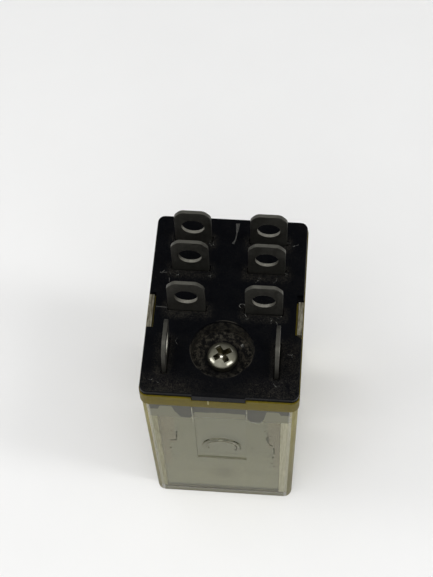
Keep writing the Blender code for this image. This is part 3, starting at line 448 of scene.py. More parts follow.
def phenolic_look():
    """Black moulded phenolic with pale dust round the blades and in corners, and a painted highlight along
    the screw recess's edge.
    """
    look = Look("black_phenolic_dusty", specular=0.04, tint=(0.35, 0.35, 0.33))
    x, y, z = look.axis("X"), look.axis("Y"), look.axis("Z")
    side = look.math("ABSOLUTE", x)

    feet = []
    for row in ROWS_Y:
        feet.append(look.distance(look.span(side, CONTACT_X, BLADE_HALF_WIDTH),
                                  look.span(y, row - 0.3 * MM, 0.5 * MM)))
    feet.append(look.distance(look.span(side, COIL_BLADE_X + 0.25 * MM, 0.4 * MM),
                              look.span(y, COIL_BLADE_Y, BLADE_HALF_WIDTH)))
    near_feet = look.strongest(*[look.ramp(foot, 1.5 * MM, 0.1 * MM) for foot in feet])
    front = look.ramp(y, -9.6 * MM, -13.4 * MM)
    front = look.product(front, look.ramp(side, 1.2 * MM, 6.0 * MM, 0.25, 1.0))
    right = look.product(look.ramp(x, 7.7 * MM, 9.4 * MM), look.ramp(y, -2.5 * MM, -7.5 * MM))
    around_screw = look.around(SCREW_AXIS)
    low = look.ramp(z, BASE_TOP - 0.2 * MM, BASE_TOP - 0.6 * MM)
    recess = look.product(look.ramp(around_screw, 4.6 * MM, 4.2 * MM), low)

    clouds = look.ramp(look.noise(420.0, 5.0, 0.7), 0.42, 0.72)
    grain = look.ramp(look.noise(5600.0, 3.0, 0.75), 0.4, 0.72)
    swirl = look.noise(1500.0, 2.0, 0.5, distortion=2.5)
    scribble = look.product(look.ramp(swirl, 0.47, 0.5), look.ramp(swirl, 0.54, 0.51))
    specks = look.ramp(look.cells(2300.0), 0.15, 0.05)
    upward = look.ramp(look.facing("Z"), 0.2, 0.8)

    places = look.strongest(near_feet, front, look.product(right, 0.8))
    film = look.product(places, grain, look.ramp(clouds, 0.0, 1.0, 0.25, 1.0))
    lines = look.product(scribble, look.ramp(places, 0.0, 1.0, 0.1, 1.0), 0.5)
    dots = look.product(specks, look.ramp(look.noise(500.0, 3.0, 0.6), 0.5, 0.62), 0.55)
    patches = look.ramp(look.noise(1600.0, 6.0, 0.8), 0.44, 0.6)
    dirt = look.product(recess, look.ramp(patches, 0.0, 1.0, 0.1, 1.15), look.ramp(grain, 0.0, 1.0, 0.6, 1.0),
                        look.ramp(around_screw, 2.0 * MM, 3.6 * MM, 0.35, 1.1))
    # Painted highlight: a thin pale ring along the screw recess's edge, broken up by noise; the dust mask
    # below carries it too.
    ring = look.ramp(look.span(around_screw, RECESS_RADIUS, 0.04 * MM), 0.12 * MM, 0.0)
    ring = look.product(ring, look.ramp(look.noise(350.0, 3.0), 0.4, 0.6), 0.6)
    dust = look.strongest(look.product(film, 0.5), lines, dots, ring, look.product(clouds, grain, 0.12))
    dust = look.strongest(look.product(dust, upward), dirt)

    black = look.blend(look.noise(1100.0, 3.0), (0.0016, 0.0018, 0.0026), (0.003, 0.0033, 0.0042))
    tint = look.blend(look.noise(240.0, 3.0), (0.05, 0.049, 0.043), (0.048, 0.04, 0.027))
    look.colour(look.blend(dust, black, tint))
    gloss = look.math("MULTIPLY_ADD", look.noise(700.0, 4.0, 0.6), 0.16, 0.2)
    look.rough(look.math("ADD", gloss, look.product(dust, 0.5)))
    fine = look.bump(look.noise(6500.0, 2.0), 3.0, 0.3)
    look.bump(dust, 20.0, 0.6, below=fine)
    return look.material


def olive(look, share=1.0):
    """Yellowed plastic, stronger towards the rim; share darkens it."""
    def shade(*colour):
        return tuple(share * part for part in colour)

    height = look.ramp(look.axis("Z"), 6.0 * MM, 31.0 * MM)
    cloud = look.ramp(look.noise(420.0, 4.0, 0.65, stretch=(1.0, 1.0, 0.4)), 0.35, 0.65)
    low = look.blend(cloud, shade(0.145, 0.128, 0.055), shade(0.19, 0.17, 0.08))
    high = look.blend(cloud, shade(0.225, 0.192, 0.05), shade(0.29, 0.255, 0.09))
    return look.blend(height, low, high)


def painted_shade_band(look, across, side, z):
    """Painted shade: a grey band on the wall that hangs below the rim with two deeper lobes, for the darker
    inside seen through the wall.
    """
    left = look.ramp(look.span(across, -4.7 * MM, 0.5 * MM), 0.95 * MM, 0.0, 0.0, 1.5 * MM)
    right = look.ramp(look.span(across, 4.9 * MM, 0.6 * MM), 0.95 * MM, 0.0, 0.0, 2.1 * MM)
    outer = look.ramp(side, 6.0 * MM, 6.5 * MM, 0.0, 1.7 * MM)
    corners = look.ramp(side, 8.0 * MM, 8.4 * MM, 0.0, 1.0 * MM)
    ripple = look.math("MULTIPLY_ADD", look.noise(420.0, 2.0, stretch=(1.0, 1.0, 0.2)),
                       0.9 * MM, 29.5 * MM)
    level = look.math("SUBTRACT", look.math("ADD", ripple, outer),
                      look.math("ADD", look.math("ADD", left, right), corners))
    return look.ramp(look.math("SUBTRACT", z, level), -0.1 * MM, 0.16 * MM)


def cover_look():
    """Clear plastic gone yellow-olive, with light haze, scuffs and waves, and a band of painted shade below
    the rim.
    """
    look = Look("aged_cover_plastic", ior=COVER_IOR, tint=(0.3, 0.29, 0.25))
    across, z = look.axis("X"), look.axis("Z")
    side = look.math("ABSOLUTE", across)
    frontal = look.ramp(look.facing("Y"), -0.6, -0.75)
    strips = look.strongest(look.within(across, -9.1 * MM, 0.46 * MM),
                            look.within(across, 9.06 * MM, 0.7 * MM))
    strip = look.product(strips, frontal, look.within(z, 15.2 * MM, 13.1 * MM))
    margin = look.product(frontal, look.ramp(side, 9.54 * MM, 9.54 * MM + ZONE_EDGE))
    shoulder = look.product(frontal, look.ramp(z, 28.3 * MM, 28.3 * MM + ZONE_EDGE))
    # Painted shade: a grey band on the front below the rim.
    shade_band = look.product(frontal, painted_shade_band(look, across, side, z))
    foot = look.ramp(z, 1.75 * MM, 1.5 * MM)
    sole = look.ramp(z, 0.85 * MM, 0.65 * MM)
    cloud = look.noise(300.0, 4.0, 0.6)
    hazy = look.blend(cloud, (0.76, 0.75, 0.66), (0.84, 0.83, 0.75))
    drawn = look.noise(1.0, 4.0, 0.75, stretch=(6200.0, 6200.0, 380.0))
    drawn = look.ramp(drawn, 0.36, 0.64)
    milky = look.blend(look.ramp(across, -1.0 * MM, 1.0 * MM),
                       look.blend(drawn, (0.18, 0.168, 0.095), (0.31, 0.297, 0.185)),
                       look.blend(drawn, (0.28, 0.266, 0.175), (0.41, 0.396, 0.28)))
    hem = look.blend(sole, (0.14, 0.136, 0.09), (0.1, 0.09, 0.042))
    shade_band_tone = look.blend(look.noise(500.0, 4.0, 0.6), (0.03, 0.032, 0.026), (0.066, 0.062, 0.038))
    tone = look.blend(shoulder, hazy, (0.141, 0.138, 0.089))
    tone = look.blend(shade_band, tone, shade_band_tone)
    tone = look.blend(margin, tone, olive(look, 0.72))
    look.colour(look.blend(foot, look.blend(strip, tone, milky), hem))
    scuffs = look.ramp(look.noise(520.0, 6.0, 0.75, stretch=(1.0, 1.0, 3.0)), 0.52, 0.78)
    # The painted shade band is made nearly opaque here, along with the cloudy parts.
    cloudy = look.strongest(look.product(strip, 0.78), look.product(foot, 0.85), look.product(scuffs, 0.02),
                            look.product(look.strongest(shoulder, margin, shade_band), 0.93))
    look.join(look.math("SUBTRACT", 0.99, cloudy), look.shader.inputs["Transmission Weight"])
    look.rough(look.strongest(look.math("MULTIPLY_ADD", scuffs, 0.14, 0.06), look.product(strip, 0.3)))
    waves = look.bump(look.noise(130.0, 1.0), 30.0, 0.3)
    look.bump(look.noise(4200.0, 3.0, 0.6), 3.0, 0.4, below=waves)
    absorb = look.new("ShaderNodeVolumeAbsorption")
    look.fix(absorb, {"Color": (0.88, 0.85, 0.55, 1.0), "Density": 420.0})
    look.join(absorb.outputs["Volume"], look.tree.nodes["Material Output"].inputs["Volume"])
    return look.material


def corner_look():
    """Thick rounded corners of the cover, where the yellowing shows most."""
    look = Look("olive_corner_plastic", 0.4, ior=COVER_IOR, specular=0.1, tint=(0.35, 0.34, 0.3),
                transmission=0.12)
    look.colour(olive(look))
    look.bump(look.noise(1500.0, 4.0, 0.6), 6.0, 0.4)
    return look.material


def ledge_look():
    """Softly clouded small ledges of the cover's recessed panel."""
    look = Look("clouded_ledge", 0.5, ior=COVER_IOR, specular=0.1, transmission=0.2)
    look.colour(look.blend(look.noise(900.0, 3.0), (0.15, 0.146, 0.105), (0.22, 0.216, 0.165)))
    return look.material


def rim_look():
    """Olive rim of the cover, clouded and only a little translucent, with one thin painted glint."""
    look = Look("olive_rim_plastic", 0.45, specular=0.06, transmission=0.1)
    low = look.ramp(look.axis("Z"), RIM_LOW + 1.4 * MM, RIM_LOW + 0.2 * MM)
    stain = look.ramp(look.noise(700.0, 5.0, 0.7, stretch=(1.0, 1.0, 2.2)), 0.35, 0.7)
    base = look.blend(stain, (0.128, 0.098, 0.005), (0.096, 0.076, 0.007))
    base = look.blend(look.product(low, 0.35), base, (0.13, 0.105, 0.03))
    grains = look.ramp(look.noise(2600.0, 4.0, 0.7), 0.5, 0.75)
    base = look.blend(look.product(grains, 0.35), base, (0.06, 0.048, 0.01))
    # Painted highlight: a pale vertical glint on the rim's front at X -1.41 mm, where the rim has a tiny
    # step.
    step = look.ramp(look.span(look.axis("X"), -1.41 * MM, 0.04 * MM), 0.1 * MM, 0.0)
    step = look.product(step, look.ramp(look.axis("Z"), RIM_LOW + 0.9 * MM, RIM_LOW + 1.1 * MM),
                        look.ramp(look.axis("Y"), -13.0 * MM, -13.5 * MM))
    look.colour(look.blend(look.product(step, 0.7), base, (0.4, 0.37, 0.2)))
    look.bump(look.noise(2200.0, 4.0, 0.65), 8.0, 0.5)
    return look.material


def lug_look():
    """Pale scuffed plastic of the two snap lugs, streaked lengthwise."""
    look = Look("pale_lug_plastic", 0.55, specular=0.3)
    streaks = look.noise(1.0, 4.0, 0.75, stretch=(5200.0, 600.0, 600.0))
    tone = look.blend(look.ramp(streaks, 0.36, 0.62), (0.035, 0.029, 0.014), (0.19, 0.18, 0.135))
    patches = look.ramp(look.noise(1300.0, 4.0, 0.7), 0.42, 0.62)
    look.colour(look.blend(look.product(patches, 0.5), tone, (0.06, 0.052, 0.034)))
    look.bump(streaks, 20.0, 0.5)
    return look.material


def rib_look():
    """Milky plastic of the two ribs inside the cover, with drawn streaks."""
    look = Look("milky_rib_plastic", 0.5, specular=0.2)
    streaks = look.noise(1.0, 4.0, 0.75, stretch=(6200.0, 6200.0, 420.0))
    tone = look.blend(look.ramp(streaks, 0.36, 0.64), (0.2, 0.185, 0.14), (0.36, 0.345, 0.28))
    look.colour(look.blend(look.product(look.noise(700.0, 4.0), 0.4), tone, (0.24, 0.225, 0.165)))
    look.bump(streaks, 10.0, 0.5)
    return look.material


def strip_metal_look(name, dull, bright, metallic=1.0):
    """Rolled and tinned strip: upright grain, stains and dull patches."""
    look = Look(name, metallic=metallic)
    grain = look.noise(1.0, 3.0, 0.7, stretch=(2600.0, 2600.0, 130.0))
    stains = look.ramp(look.noise(420.0, 5.0, 0.65), 0.35, 0.7)
    spots = look.ramp(look.cells(1500.0), 0.2, 0.05)
    spots = look.product(spots, look.ramp(look.noise(700.0), 0.5, 0.6))
    tone = look.blend(look.math("MULTIPLY_ADD", grain, 0.6, 0.1), dull, bright)
    tone = look.blend(look.product(stains, 0.45), tone, tuple(0.55 * part for part in dull))
    look.colour(look.blend(look.product(spots, 0.6), tone, (0.05, 0.045, 0.035)))
    wear = look.math("MULTIPLY_ADD", stains, 0.2, 0.34)
    look.rough(look.math("ADD", wear, look.product(grain, 0.12)))
    look.bump(grain, 5.0, 0.6)
    return look.material


def plain_metal_look(name, first, second, roughness, scale=600.0, relief=4.0):
    """Plated or turned metal with soft mottling and fine marks."""
    look = Look(name, metallic=1.0)
    mottle = look.noise(scale, 4.0, 0.6)
    look.colour(look.blend(mottle, first, second))
    marks = look.noise(scale * 7.0, 3.0, 0.7)
    look.rough(look.math("MULTIPLY_ADD", mottle, 0.18, roughness))
    look.bump(marks, relief, 0.6)
    return look.material


def screw_look():
    """Satin nickel dome with fine turned rings and an olive film in the cross; its front is darkened as
    painted shade and it has two painted highlights near the rim.
    """
    look = Look("screw_nickel", metallic=1.0)
    distance = look.around(SCREW_AXIS)
    rings = look.math("SINE", look.product(distance, 42000.0))
    deep = look.ramp(look.axis("Z"), SCREW_HIGH.z - 0.22 * MM, SCREW_HIGH.z - 0.4 * MM)
    steep = look.ramp(look.facing("Z"), 0.75, 0.5)
    inside = look.ramp(distance, 1.45 * MM, 1.38 * MM)
    dirt = look.product(look.strongest(deep, steep), inside)
    film = look.ramp(look.noise(1100.0, 4.0, 0.6), 0.35, 0.7)
    dome = look.blend(film, (0.245, 0.238, 0.183), (0.19, 0.184, 0.138))
    # Painted shade: the front of the dome is blended towards a darker tone.
    front = look.ramp(look.axis("Y"), SCREW_AXIS.y - 0.5 * MM, SCREW_AXIS.y - 1.4 * MM, 0.0, 0.42)
    dome = look.blend(front, dome, (0.06, 0.058, 0.044))
    # Painted highlights: two bright spots, in a band near the dome's rim, at the lower left and lower right.
    band = look.ramp(look.span(distance, 1.65 * MM, 0.06 * MM), 0.16 * MM, 0.0)
    spots = [look.ramp(look.around(SCREW_AXIS + Vector((x, y, 0.0)) * MM), 0.6 * MM, 0.25 * MM)
             for x, y in ((-1.36, -1.0), (1.12, -1.3))]
    rim_spot_highlights = look.product(look.strongest(*spots), band)
    dome = look.blend(rim_spot_highlights, dome, (0.78, 0.76, 0.64))
    look.colour(look.blend(look.product(dirt, 0.97), dome, (0.036, 0.03, 0.008)))
    look.rough(look.math("MULTIPLY_ADD", film, 0.08, 0.46))
    look.fix(look.shader, {"Coat Weight": 0.6, "Coat Roughness": 0.12})
    look.bump(rings, 1.5, 0.4)
    return look.material


def card_look():
    """Grey pressed card, slightly greener within its stepped middle panel."""
    look = Look("pressed_card", roughness=0.8)
    x, z = look.axis("X"), look.axis("Z")
    upper = look.ramp(look.math("ABSOLUTE", x), 6.65 * MM, 6.45 * MM)
    lower = look.ramp(look.math("ABSOLUTE", x), 7.65 * MM, 7.4 * MM)
    split = look.ramp(z, 17.7 * MM, 17.5 * MM)
    inner = look.strongest(upper, look.product(lower, split))
    inner = look.strongest(inner, look.ramp(z, 10.5 * MM, 8.5 * MM))
    fibres = look.noise(1.0, 4.0, 0.7, distortion=0.6, stretch=(2600.0, 2600.0, 900.0))
    cloud = look.noise(190.0, 4.0, 0.6)
    green = look.blend(cloud, (0.1, 0.109, 0.098), (0.132, 0.141, 0.128))
    pink = look.blend(cloud, (0.112, 0.1, 0.086), (0.137, 0.122, 0.105))
    tone = look.blend(inner, pink, green)
    tone = look.blend(look.ramp(z, 14.0 * MM, 7.0 * MM, 0.0, 0.35), tone, (0.19, 0.197, 0.178))
    tone = look.blend(look.ramp(fibres, 0.35, 0.75, 0.0, 0.3), tone, (0.18, 0.18, 0.165))
    smudge = look.around(Vector((0.0, CARD_FRONT, 7.6 * MM)), flat=False)
    smudge = look.ramp(smudge, 3.4 * MM, 0.4 * MM, 0.0, 0.8)
    band = look.product(look.ramp(look.span(z, 8.2 * MM, 0.3 * MM), 0.9 * MM, 0.0), 0.25)
    stains = look.product(look.ramp(look.noise(330.0, 5.0, 0.7), 0.6, 0.78), 0.3)
    marks = look.strongest(look.product(smudge, look.ramp(cloud, 0.3, 0.6, 0.4, 1.0)), band, stains)
    look.colour(look.blend(marks, tone, (0.06, 0.058, 0.048)))
    look.bump(fibres, 12.0, 0.6)
    return look.material


def moulding_look(name, first, second, roughness):
    """Opaque moulded plastic with mottling and a fine texture."""
    look = Look(name)
    mottle = look.noise(900.0, 5.0, 0.65)
    look.colour(look.blend(look.ramp(mottle, 0.35, 0.7), first, second))
    look.rough(look.math("MULTIPLY_ADD", look.noise(1800.0, 3.0), 0.2, roughness))
    look.bump(look.noise(5400.0, 2.0), 7.0, 0.5)
    return look.material


def winding_look():
    """Fine enamelled wire wound in close turns."""
    look = Look("enamelled_turns", metallic=1.0)
    turns = look.wave(TURNS_SCALE, 0.25)
    tone = look.noise(500.0, 3.0)
    look.colour(look.blend(tone, (0.42, 0.13, 0.05), (0.6, 0.25, 0.1)))
    look.rough(look.math("MULTIPLY_ADD", tone, 0.15, 0.25))
    look.bump(turns, 50.0, 0.9)
    return look.material


def tape_look():
    """Amber tape with the turns of wire showing faintly through it."""
    look = Look("amber_tape", roughness=0.3)
    turns = look.wave(TURNS_SCALE, 0.3)
    cloud = look.noise(300.0, 4.0, 0.6)
    tone = look.blend(cloud, (0.42, 0.24, 0.05), (0.6, 0.38, 0.1))
    look.colour(look.blend(look.product(turns, 0.25), tone, (0.3, 0.13, 0.03)))
    look.rough(look.math("MULTIPLY_ADD", look.noise(800.0, 4.0), 0.2, 0.2))
    look.bump(turns, 12.0, 0.5)
    return look.material


def dust_look():
    """Grey dust and dried flux on the moulding."""
    look = Look("pale_dust", 0.85)
    grains = look.noise(3800.0, 4.0, 0.7)
    look.colour(look.blend(look.ramp(grains, 0.35, 0.65), (0.01, 0.01, 0.009), (0.05, 0.05, 0.045)))
    look.bump(grains, 20.0, 0.7)
    return look.material


def lint_look():
    """Pale fibres and flecks."""
    look = Look("pale_lint", 0.7)
    shade = look.ramp(look.noise(2500.0, 3.0, 0.6), 0.4, 0.66)
    look.colour(look.blend(shade, (0.02, 0.02, 0.018), (0.2, 0.2, 0.18)))
    return look.material


def mark_look(name, dark, pale):
    """Thin marks on the cover, broken up along their length: painted shadow, shade and highlight lines, and
    specks.
    """
    look = Look(name, 0.7, specular=0.1)
    look.colour(look.blend(look.ramp(look.noise(1500.0, 4.0, 0.7), 0.4, 0.62), dark, pale))
    return look.material


def floor_look():
    """Plain pale paper."""
    look = Look("pale_floor", roughness=0.9)
    look.colour(look.blend(look.noise(60.0, 3.0), (0.8, 0.8, 0.795), (0.83, 0.83, 0.825)))
    return look.material


LOOKS = {
    "phenolic": phenolic_look(),
    "cover": cover_look(),
    "corner": corner_look(),
    "ledge": ledge_look(),
    "rim": rim_look(),
    "lug": lug_look(),
    "rib": rib_look(),
    "blade": strip_metal_look("tinned_strip", (0.076, 0.074, 0.064), (0.157, 0.153, 0.135), 0.93),
    "cut_edge": plain_metal_look("cut_tinned_edge", (0.08, 0.079, 0.068), (0.16, 0.157, 0.137), 0.42, 1500.0),
    "dark_edge": plain_metal_look("dull_edge", (0.05, 0.049, 0.042), (0.1, 0.098, 0.085), 0.45, 1500.0),
    # Lighter copy of the tinned metal for the hole walls: painted highlight of the light they catch from
    # above.
    "hole_highlight": plain_metal_look("hole_wall_painted_highlight", (0.2, 0.193, 0.165), (0.46, 0.45, 0.39), 0.38, 1800.0),
    "screw": screw_look(),
    "iron": strip_metal_look("plated_yoke_iron", (0.34, 0.33, 0.3), (0.5, 0.49, 0.45)),
    "pole": plain_metal_look("pole_iron", (0.38, 0.37, 0.35), (0.5, 0.49, 0.46), 0.3),
    "card": card_look(),
    "nylon": moulding_look("natural_nylon", (0.58, 0.53, 0.4), (0.68, 0.64, 0.52), 0.4),
    "carrier": moulding_look("red_phenolic", (0.11, 0.018, 0.012), (0.2, 0.04, 0.024), 0.32),
    "winding": winding_look(),
    "tape": tape_look(),
    "leaf": strip_metal_look("leaf_bronze", (0.45, 0.26, 0.12), (0.66, 0.42, 0.22)),
    "silver": plain_metal_look("contact_silver_alloy", (0.62, 0.61, 0.58), (0.8, 0.79, 0.75), 0.22, 1800.0),
    "rivet": plain_metal_look("rivet_nickel", (0.46, 0.44, 0.4), (0.6, 0.58, 0.53), 0.22, 1200.0),
    "spring": plain_metal_look("spring_wire", (0.4, 0.4, 0.4), (0.56, 0.56, 0.55), 0.25, 2500.0),
    "solder": plain_metal_look("soft_solder", (0.5, 0.5, 0.48), (0.66, 0.66, 0.64), 0.3, 1900.0, 10.0),
    "copper": plain_metal_look("bare_copper", (0.5, 0.23, 0.12), (0.68, 0.36, 0.2), 0.35, 2400.0),
    "wire": plain_metal_look("enamelled_wire", (0.4, 0.12, 0.045), (0.56, 0.2, 0.08), 0.25, 2400.0),
    "dust": dust_look(),
    "lint": lint_look(),
    "mark": mark_look("wall_mark", (0.045, 0.044, 0.034), (0.12, 0.118, 0.095)),
    # Very bright nickel for the painted glints in the screw's cross.
    "glint": plain_metal_look("bright_nickel_painted_glint", (0.8, 0.78, 0.66), (0.95, 0.93, 0.82), 0.2, 2500.0),
    "arch_shade": mark_look("arch_painted_shade", (0.06, 0.058, 0.042), (0.16, 0.156, 0.12)),
    "arch_highlight": mark_look("arch_painted_highlight", (0.2, 0.196, 0.155), (0.42, 0.41, 0.33)),
    "floor": floor_look(),
}

COVER_LOOKS = ("cover", "rib", "rim", "lug", "corner", "ledge")


# ---- pieces

def hole_distance(point, node):
    """Distance of a point from the axis of a blade's hole."""
    low, high = corner(node, 0), corner(node, 1)
    if high.x - low.x < MM:
        across = point.y - (low.y + high.y) / 2
    else:
        across = point.x - math.copysign(CONTACT_X, low.x + high.x)
    return math.hypot(across, point.z - BLADE_MIDDLE_Z)


def round_shoulders(mesh, node):
    """Round the upper corners of a blade's outline."""
    corners = []
    for line in mesh.edges:
        first, second = (vert.co for vert in line.verts)
        through = abs(first.z - second.z) < 0.01 * MM and line.calc_length() < 0.7 * MM
        if through and first.z > BASE_TOP + 5.0 * MM and hole_distance(first, node) > HOLE_ZONE:
            corners.append(line)
    bmesh.ops.bevel(mesh, geom=corners, offset=SHOULDER_RADIUS, offset_type="OFFSET", segments=3,
                    profile=0.5, affect="EDGES")


def make_blade(kind, word):
    """Blade with dull faces, greyer cut edges and a punched hole whose lighter walls are a painted highlight.
    """
    node = f"terminal_{kind}_{word}"
    lean = COIL_BLADE_LEAN if node == "terminal_coil_left" else 0.0

    def weigh(middle):
        return 1.0 if hole_distance(middle, node) < HOLE_ZONE else BLADE_EDGE_SHARE

    def reshape(mesh):
        round_shoulders(mesh, node)
        for vert in mesh.verts:
            vert.co.x += max(vert.co.z - BASE_TOP, 0.0) * lean

    piece = refined(node, f"blade_{kind}_{word}", ROOT, LOOKS["blade"], "tinned_metal", BLADE_EDGE,
                    weigh, reshape)
    piece.data.materials.append(LOOKS["dark_edge" if kind == "coil" else "cut_edge"])
    # The walls of the hole take the lighter metal, as a painted highlight.
    piece.data.materials.append(LOOKS["hole_highlight"])
    piece.modifiers["edge_round"].material = 0
    flat_axis = 0 if kind == "coil" else 1
    for face in piece.data.polygons:
        if abs(face.normal[flat_axis]) < 0.7:
            face.material_index = 2 if hole_distance(face.center, node) < HOLE_ZONE else 1


def make_terminals():
    """All eight blades."""
    for word, _ in SIDES:
        for kind in ("no", "nc", "com", "coil"):
            make_blade(kind, word)


def make_refined_nodes():
    """Round-edged copies of the moulded, stamped and turned nodes."""
    plans = (
        ("base", "moulded_base", ROOT, "phenolic", "black_phenolic", 0.08),
        ("cover", "clear_cover", ROOT, "cover", "aged_clear_plastic", 0.06),
        ("yoke", "iron_yoke", ROOT, "iron", "plated_iron", 0.12),
        ("core", "iron_core", ROOT, "pole", "plated_iron", 0.08),
        ("bobbin", "coil_bobbin", ROOT, "nylon", "nylon", 0.15),
        ("front_card", "insulating_card", ROOT, "card", "grey_card", 0.03),
        ("armature", "iron_armature", ARMATURE, "iron", "plated_iron", 0.12),
        ("carrier", "spring_carrier", ARMATURE, "carrier", "carrier_phenolic", 0.12),
    )
    made = {}
    for node, name, body, look, slot, edge in plans:
        made[node] = refined(node, name, body, LOOKS[look], slot, edge * MM)
    for word, _ in SIDES:
        refined(f"moving_spring_{word}", f"leaf_{word}", ARMATURE, LOOKS["leaf"], "spring_bronze", 0.03 * MM)
    for node in ("base", "cover"):
        for face in made[node].data.polygons:
            if max(abs(part) for part in face.normal) > 0.9995:
                face.use_smooth = False
    cover = made["cover"]
    cover.visible_shadow = False
    for look in COVER_LOOKS[1:]:
        cover.data.materials.append(LOOKS[look])
    for face in cover.data.polygons:
        face.material_index = COVER_LOOKS.index(cover_part(face.center, face.normal))


def cover_part(place, normal):
    """Which of the cover's materials a face takes."""
    if place.z > LUG_LOW:
        return "lug"
    if place.z > RIM_LOW - 0.2 * MM:
        return "rim"
    if RIB_INNER < abs(place.x) < RIB_OUTER and RIB_FRONT < place.y < RIB_BACK and place.z < RIB_TOP:
        return "rib"
    outward = place.x * normal.x > 0.0 and place.y * normal.y > 0.0 and abs(normal.y) > 0.06
    upright = outward and abs(place.x) > CORNER_X and abs(place.y) > CORNER_Y
    end = place.z < HEM_TOP and abs(normal.z) < 0.98
    if upright or end:
        return "corner"
    in_panel = abs(place.x) < PANEL_HALF_WIDTH and place.y < PANEL_FRONT
    if in_panel and (normal.z > 0.7 or abs(normal.x) > 0.9) and PANEL_LOW < place.z < PANEL_HIGH:
        return "ledge"
    return "cover"


def cross_recess(centre, top):
    """Tapered cross that a driver fits, as a solid to cut out."""
    mesh = bmesh.new()
    rings = []
    levels = ((0.5, 0.2, -0.95), (1.12, 0.34, -0.4), (1.38, 0.41, 0.02), (1.38, 0.41, 0.4))
    for length, width, level in levels:
        ring = []
        arm = ((width, width), (width, length), (-width, length))
        for _ in range(4):
            ring += [mesh.verts.new((x * MM, y * MM, top + level * MM)) for x, y in arm]
            arm = [(-y, x) for x, y in arm]
        rings.append(ring)
    skin(mesh, rings)
    place = Matrix.Translation(centre) @ Matrix.Rotation(SCREW_TURN, 4, "Z")
    bmesh.ops.transform(mesh, matrix=place, verts=mesh.verts)
    return mesh


def make_screw():
    """Domed screw head with a cross recess, on its shank."""
    centre = Vector((SCREW_AXIS.x, SCREW_AXIS.y, 0.0))
    radius = (SCREW_HIGH.x - SCREW_LOW.x) / 2
    top, end = SCREW_HIGH.z, SCREW_LOW.z
    edge, seat = top - HEAD_DOME, top - HEAD_HEIGHT
    profile = [(0.0, top)]
    for step in range(1, 13):
        angle = math.radians(90.0 * step / 12)
        profile.append((radius * math.sin(angle) ** HEAD_CURVE, edge + (top - edge) * math.cos(angle)))
    profile += [(radius, seat + HEAD_BREAK), (radius - HEAD_BREAK, seat), (SHANK_RADIUS, seat),
                (SHANK_RADIUS, end + SHANK_CHAMFER), (SHANK_RADIUS - SHANK_CHAMFER, end), (0.0, end)]
    head = carved(turned_mesh(profile, centre, 72), cross_recess(centre, top))
    piece = link("screw_head_and_shank", head, ROOT, LOOKS["screw"], "bright_nickel", smooth=38.0)
    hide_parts("screw")

    # Painted highlights: a very bright nickel bump at the bottom of the cross, and bright lines across the
    # ends of two arms, stand in for glints.
    glint = moved(ball(0.42 * MM, 3), Vector((SCREW_AXIS.x - 0.15 * MM, SCREW_AXIS.y, top - 1.0 * MM)))
    link("recess_glint", glint, ROOT, LOOKS["glint"], "bright_nickel")
    arm_end_glints = []
    for turn in (SCREW_TURN, SCREW_TURN + math.radians(90.0)):
        points = []
        for across in (-0.36, -0.12, 0.12, 0.36):
            x = ARM_END_GLINT_REACH * math.cos(turn) - across * math.sin(turn)
            y = ARM_END_GLINT_REACH * math.sin(turn) + across * math.cos(turn)
            angle = math.asin((math.hypot(x, y) * MM / radius) ** (1.0 / HEAD_CURVE))
            points.append(centre + Vector((x * MM, y * MM, edge + (top - edge) * math.cos(angle))))
        arm_end_glints.append(tube_mesh(smooth_path(points, 3), 0.05 * MM, 6))
    link("recess_arm_end_glints", joined(arm_end_glints), ROOT, LOOKS["glint"], "bright_nickel")


def ridge(points, radii, flatten, sides=8):
    """Low raised line: a wire pressed flat against a level surface."""
    mesh = tube_mesh(points, radii, sides)
    middle = sum((vert.co.z for vert in mesh.verts), 0.0) / len(mesh.verts)
    for vert in mesh.verts:
        vert.co.z = middle + (vert.co.z - middle) * flatten
    return mesh


def on_base(x, y, lift=0.0):
    """Point on the base's top face or a little above it."""
    return Vector((x * MM, y * MM, BASE_TOP + lift))


def make_base_marks():
    """Index tick and mould line on top of the base."""
    tick = smooth_path([on_base(x, y) for x, y in
                        ((0.74, 13.0), (0.74, 12.2), (0.68, 11.2), (0.56, 10.3), (0.27, 9.65))], 4)
    widths = []
    for index in range(len(tick)):
        share = index / (len(tick) - 1)
        wide = 0.2 * max(0.0, 1.0 - share * 2.4) ** 0.5
        foot = 0.5 * max(0.0, share - 0.8)
        widths.append((0.08 + wide + foot) * MM)
    line = smooth_path([on_base(x, y) for x, y in ((-9.5, -0.98), (-8.8, -1.0), (-7.95, -1.04))], 3)
    meshes = [ridge(tick, widths, 0.22), ridge(line, 0.07 * MM, 0.35)]
    link("base_marks", joined(meshes), ROOT, LOOKS["dust"], "black_phenolic")


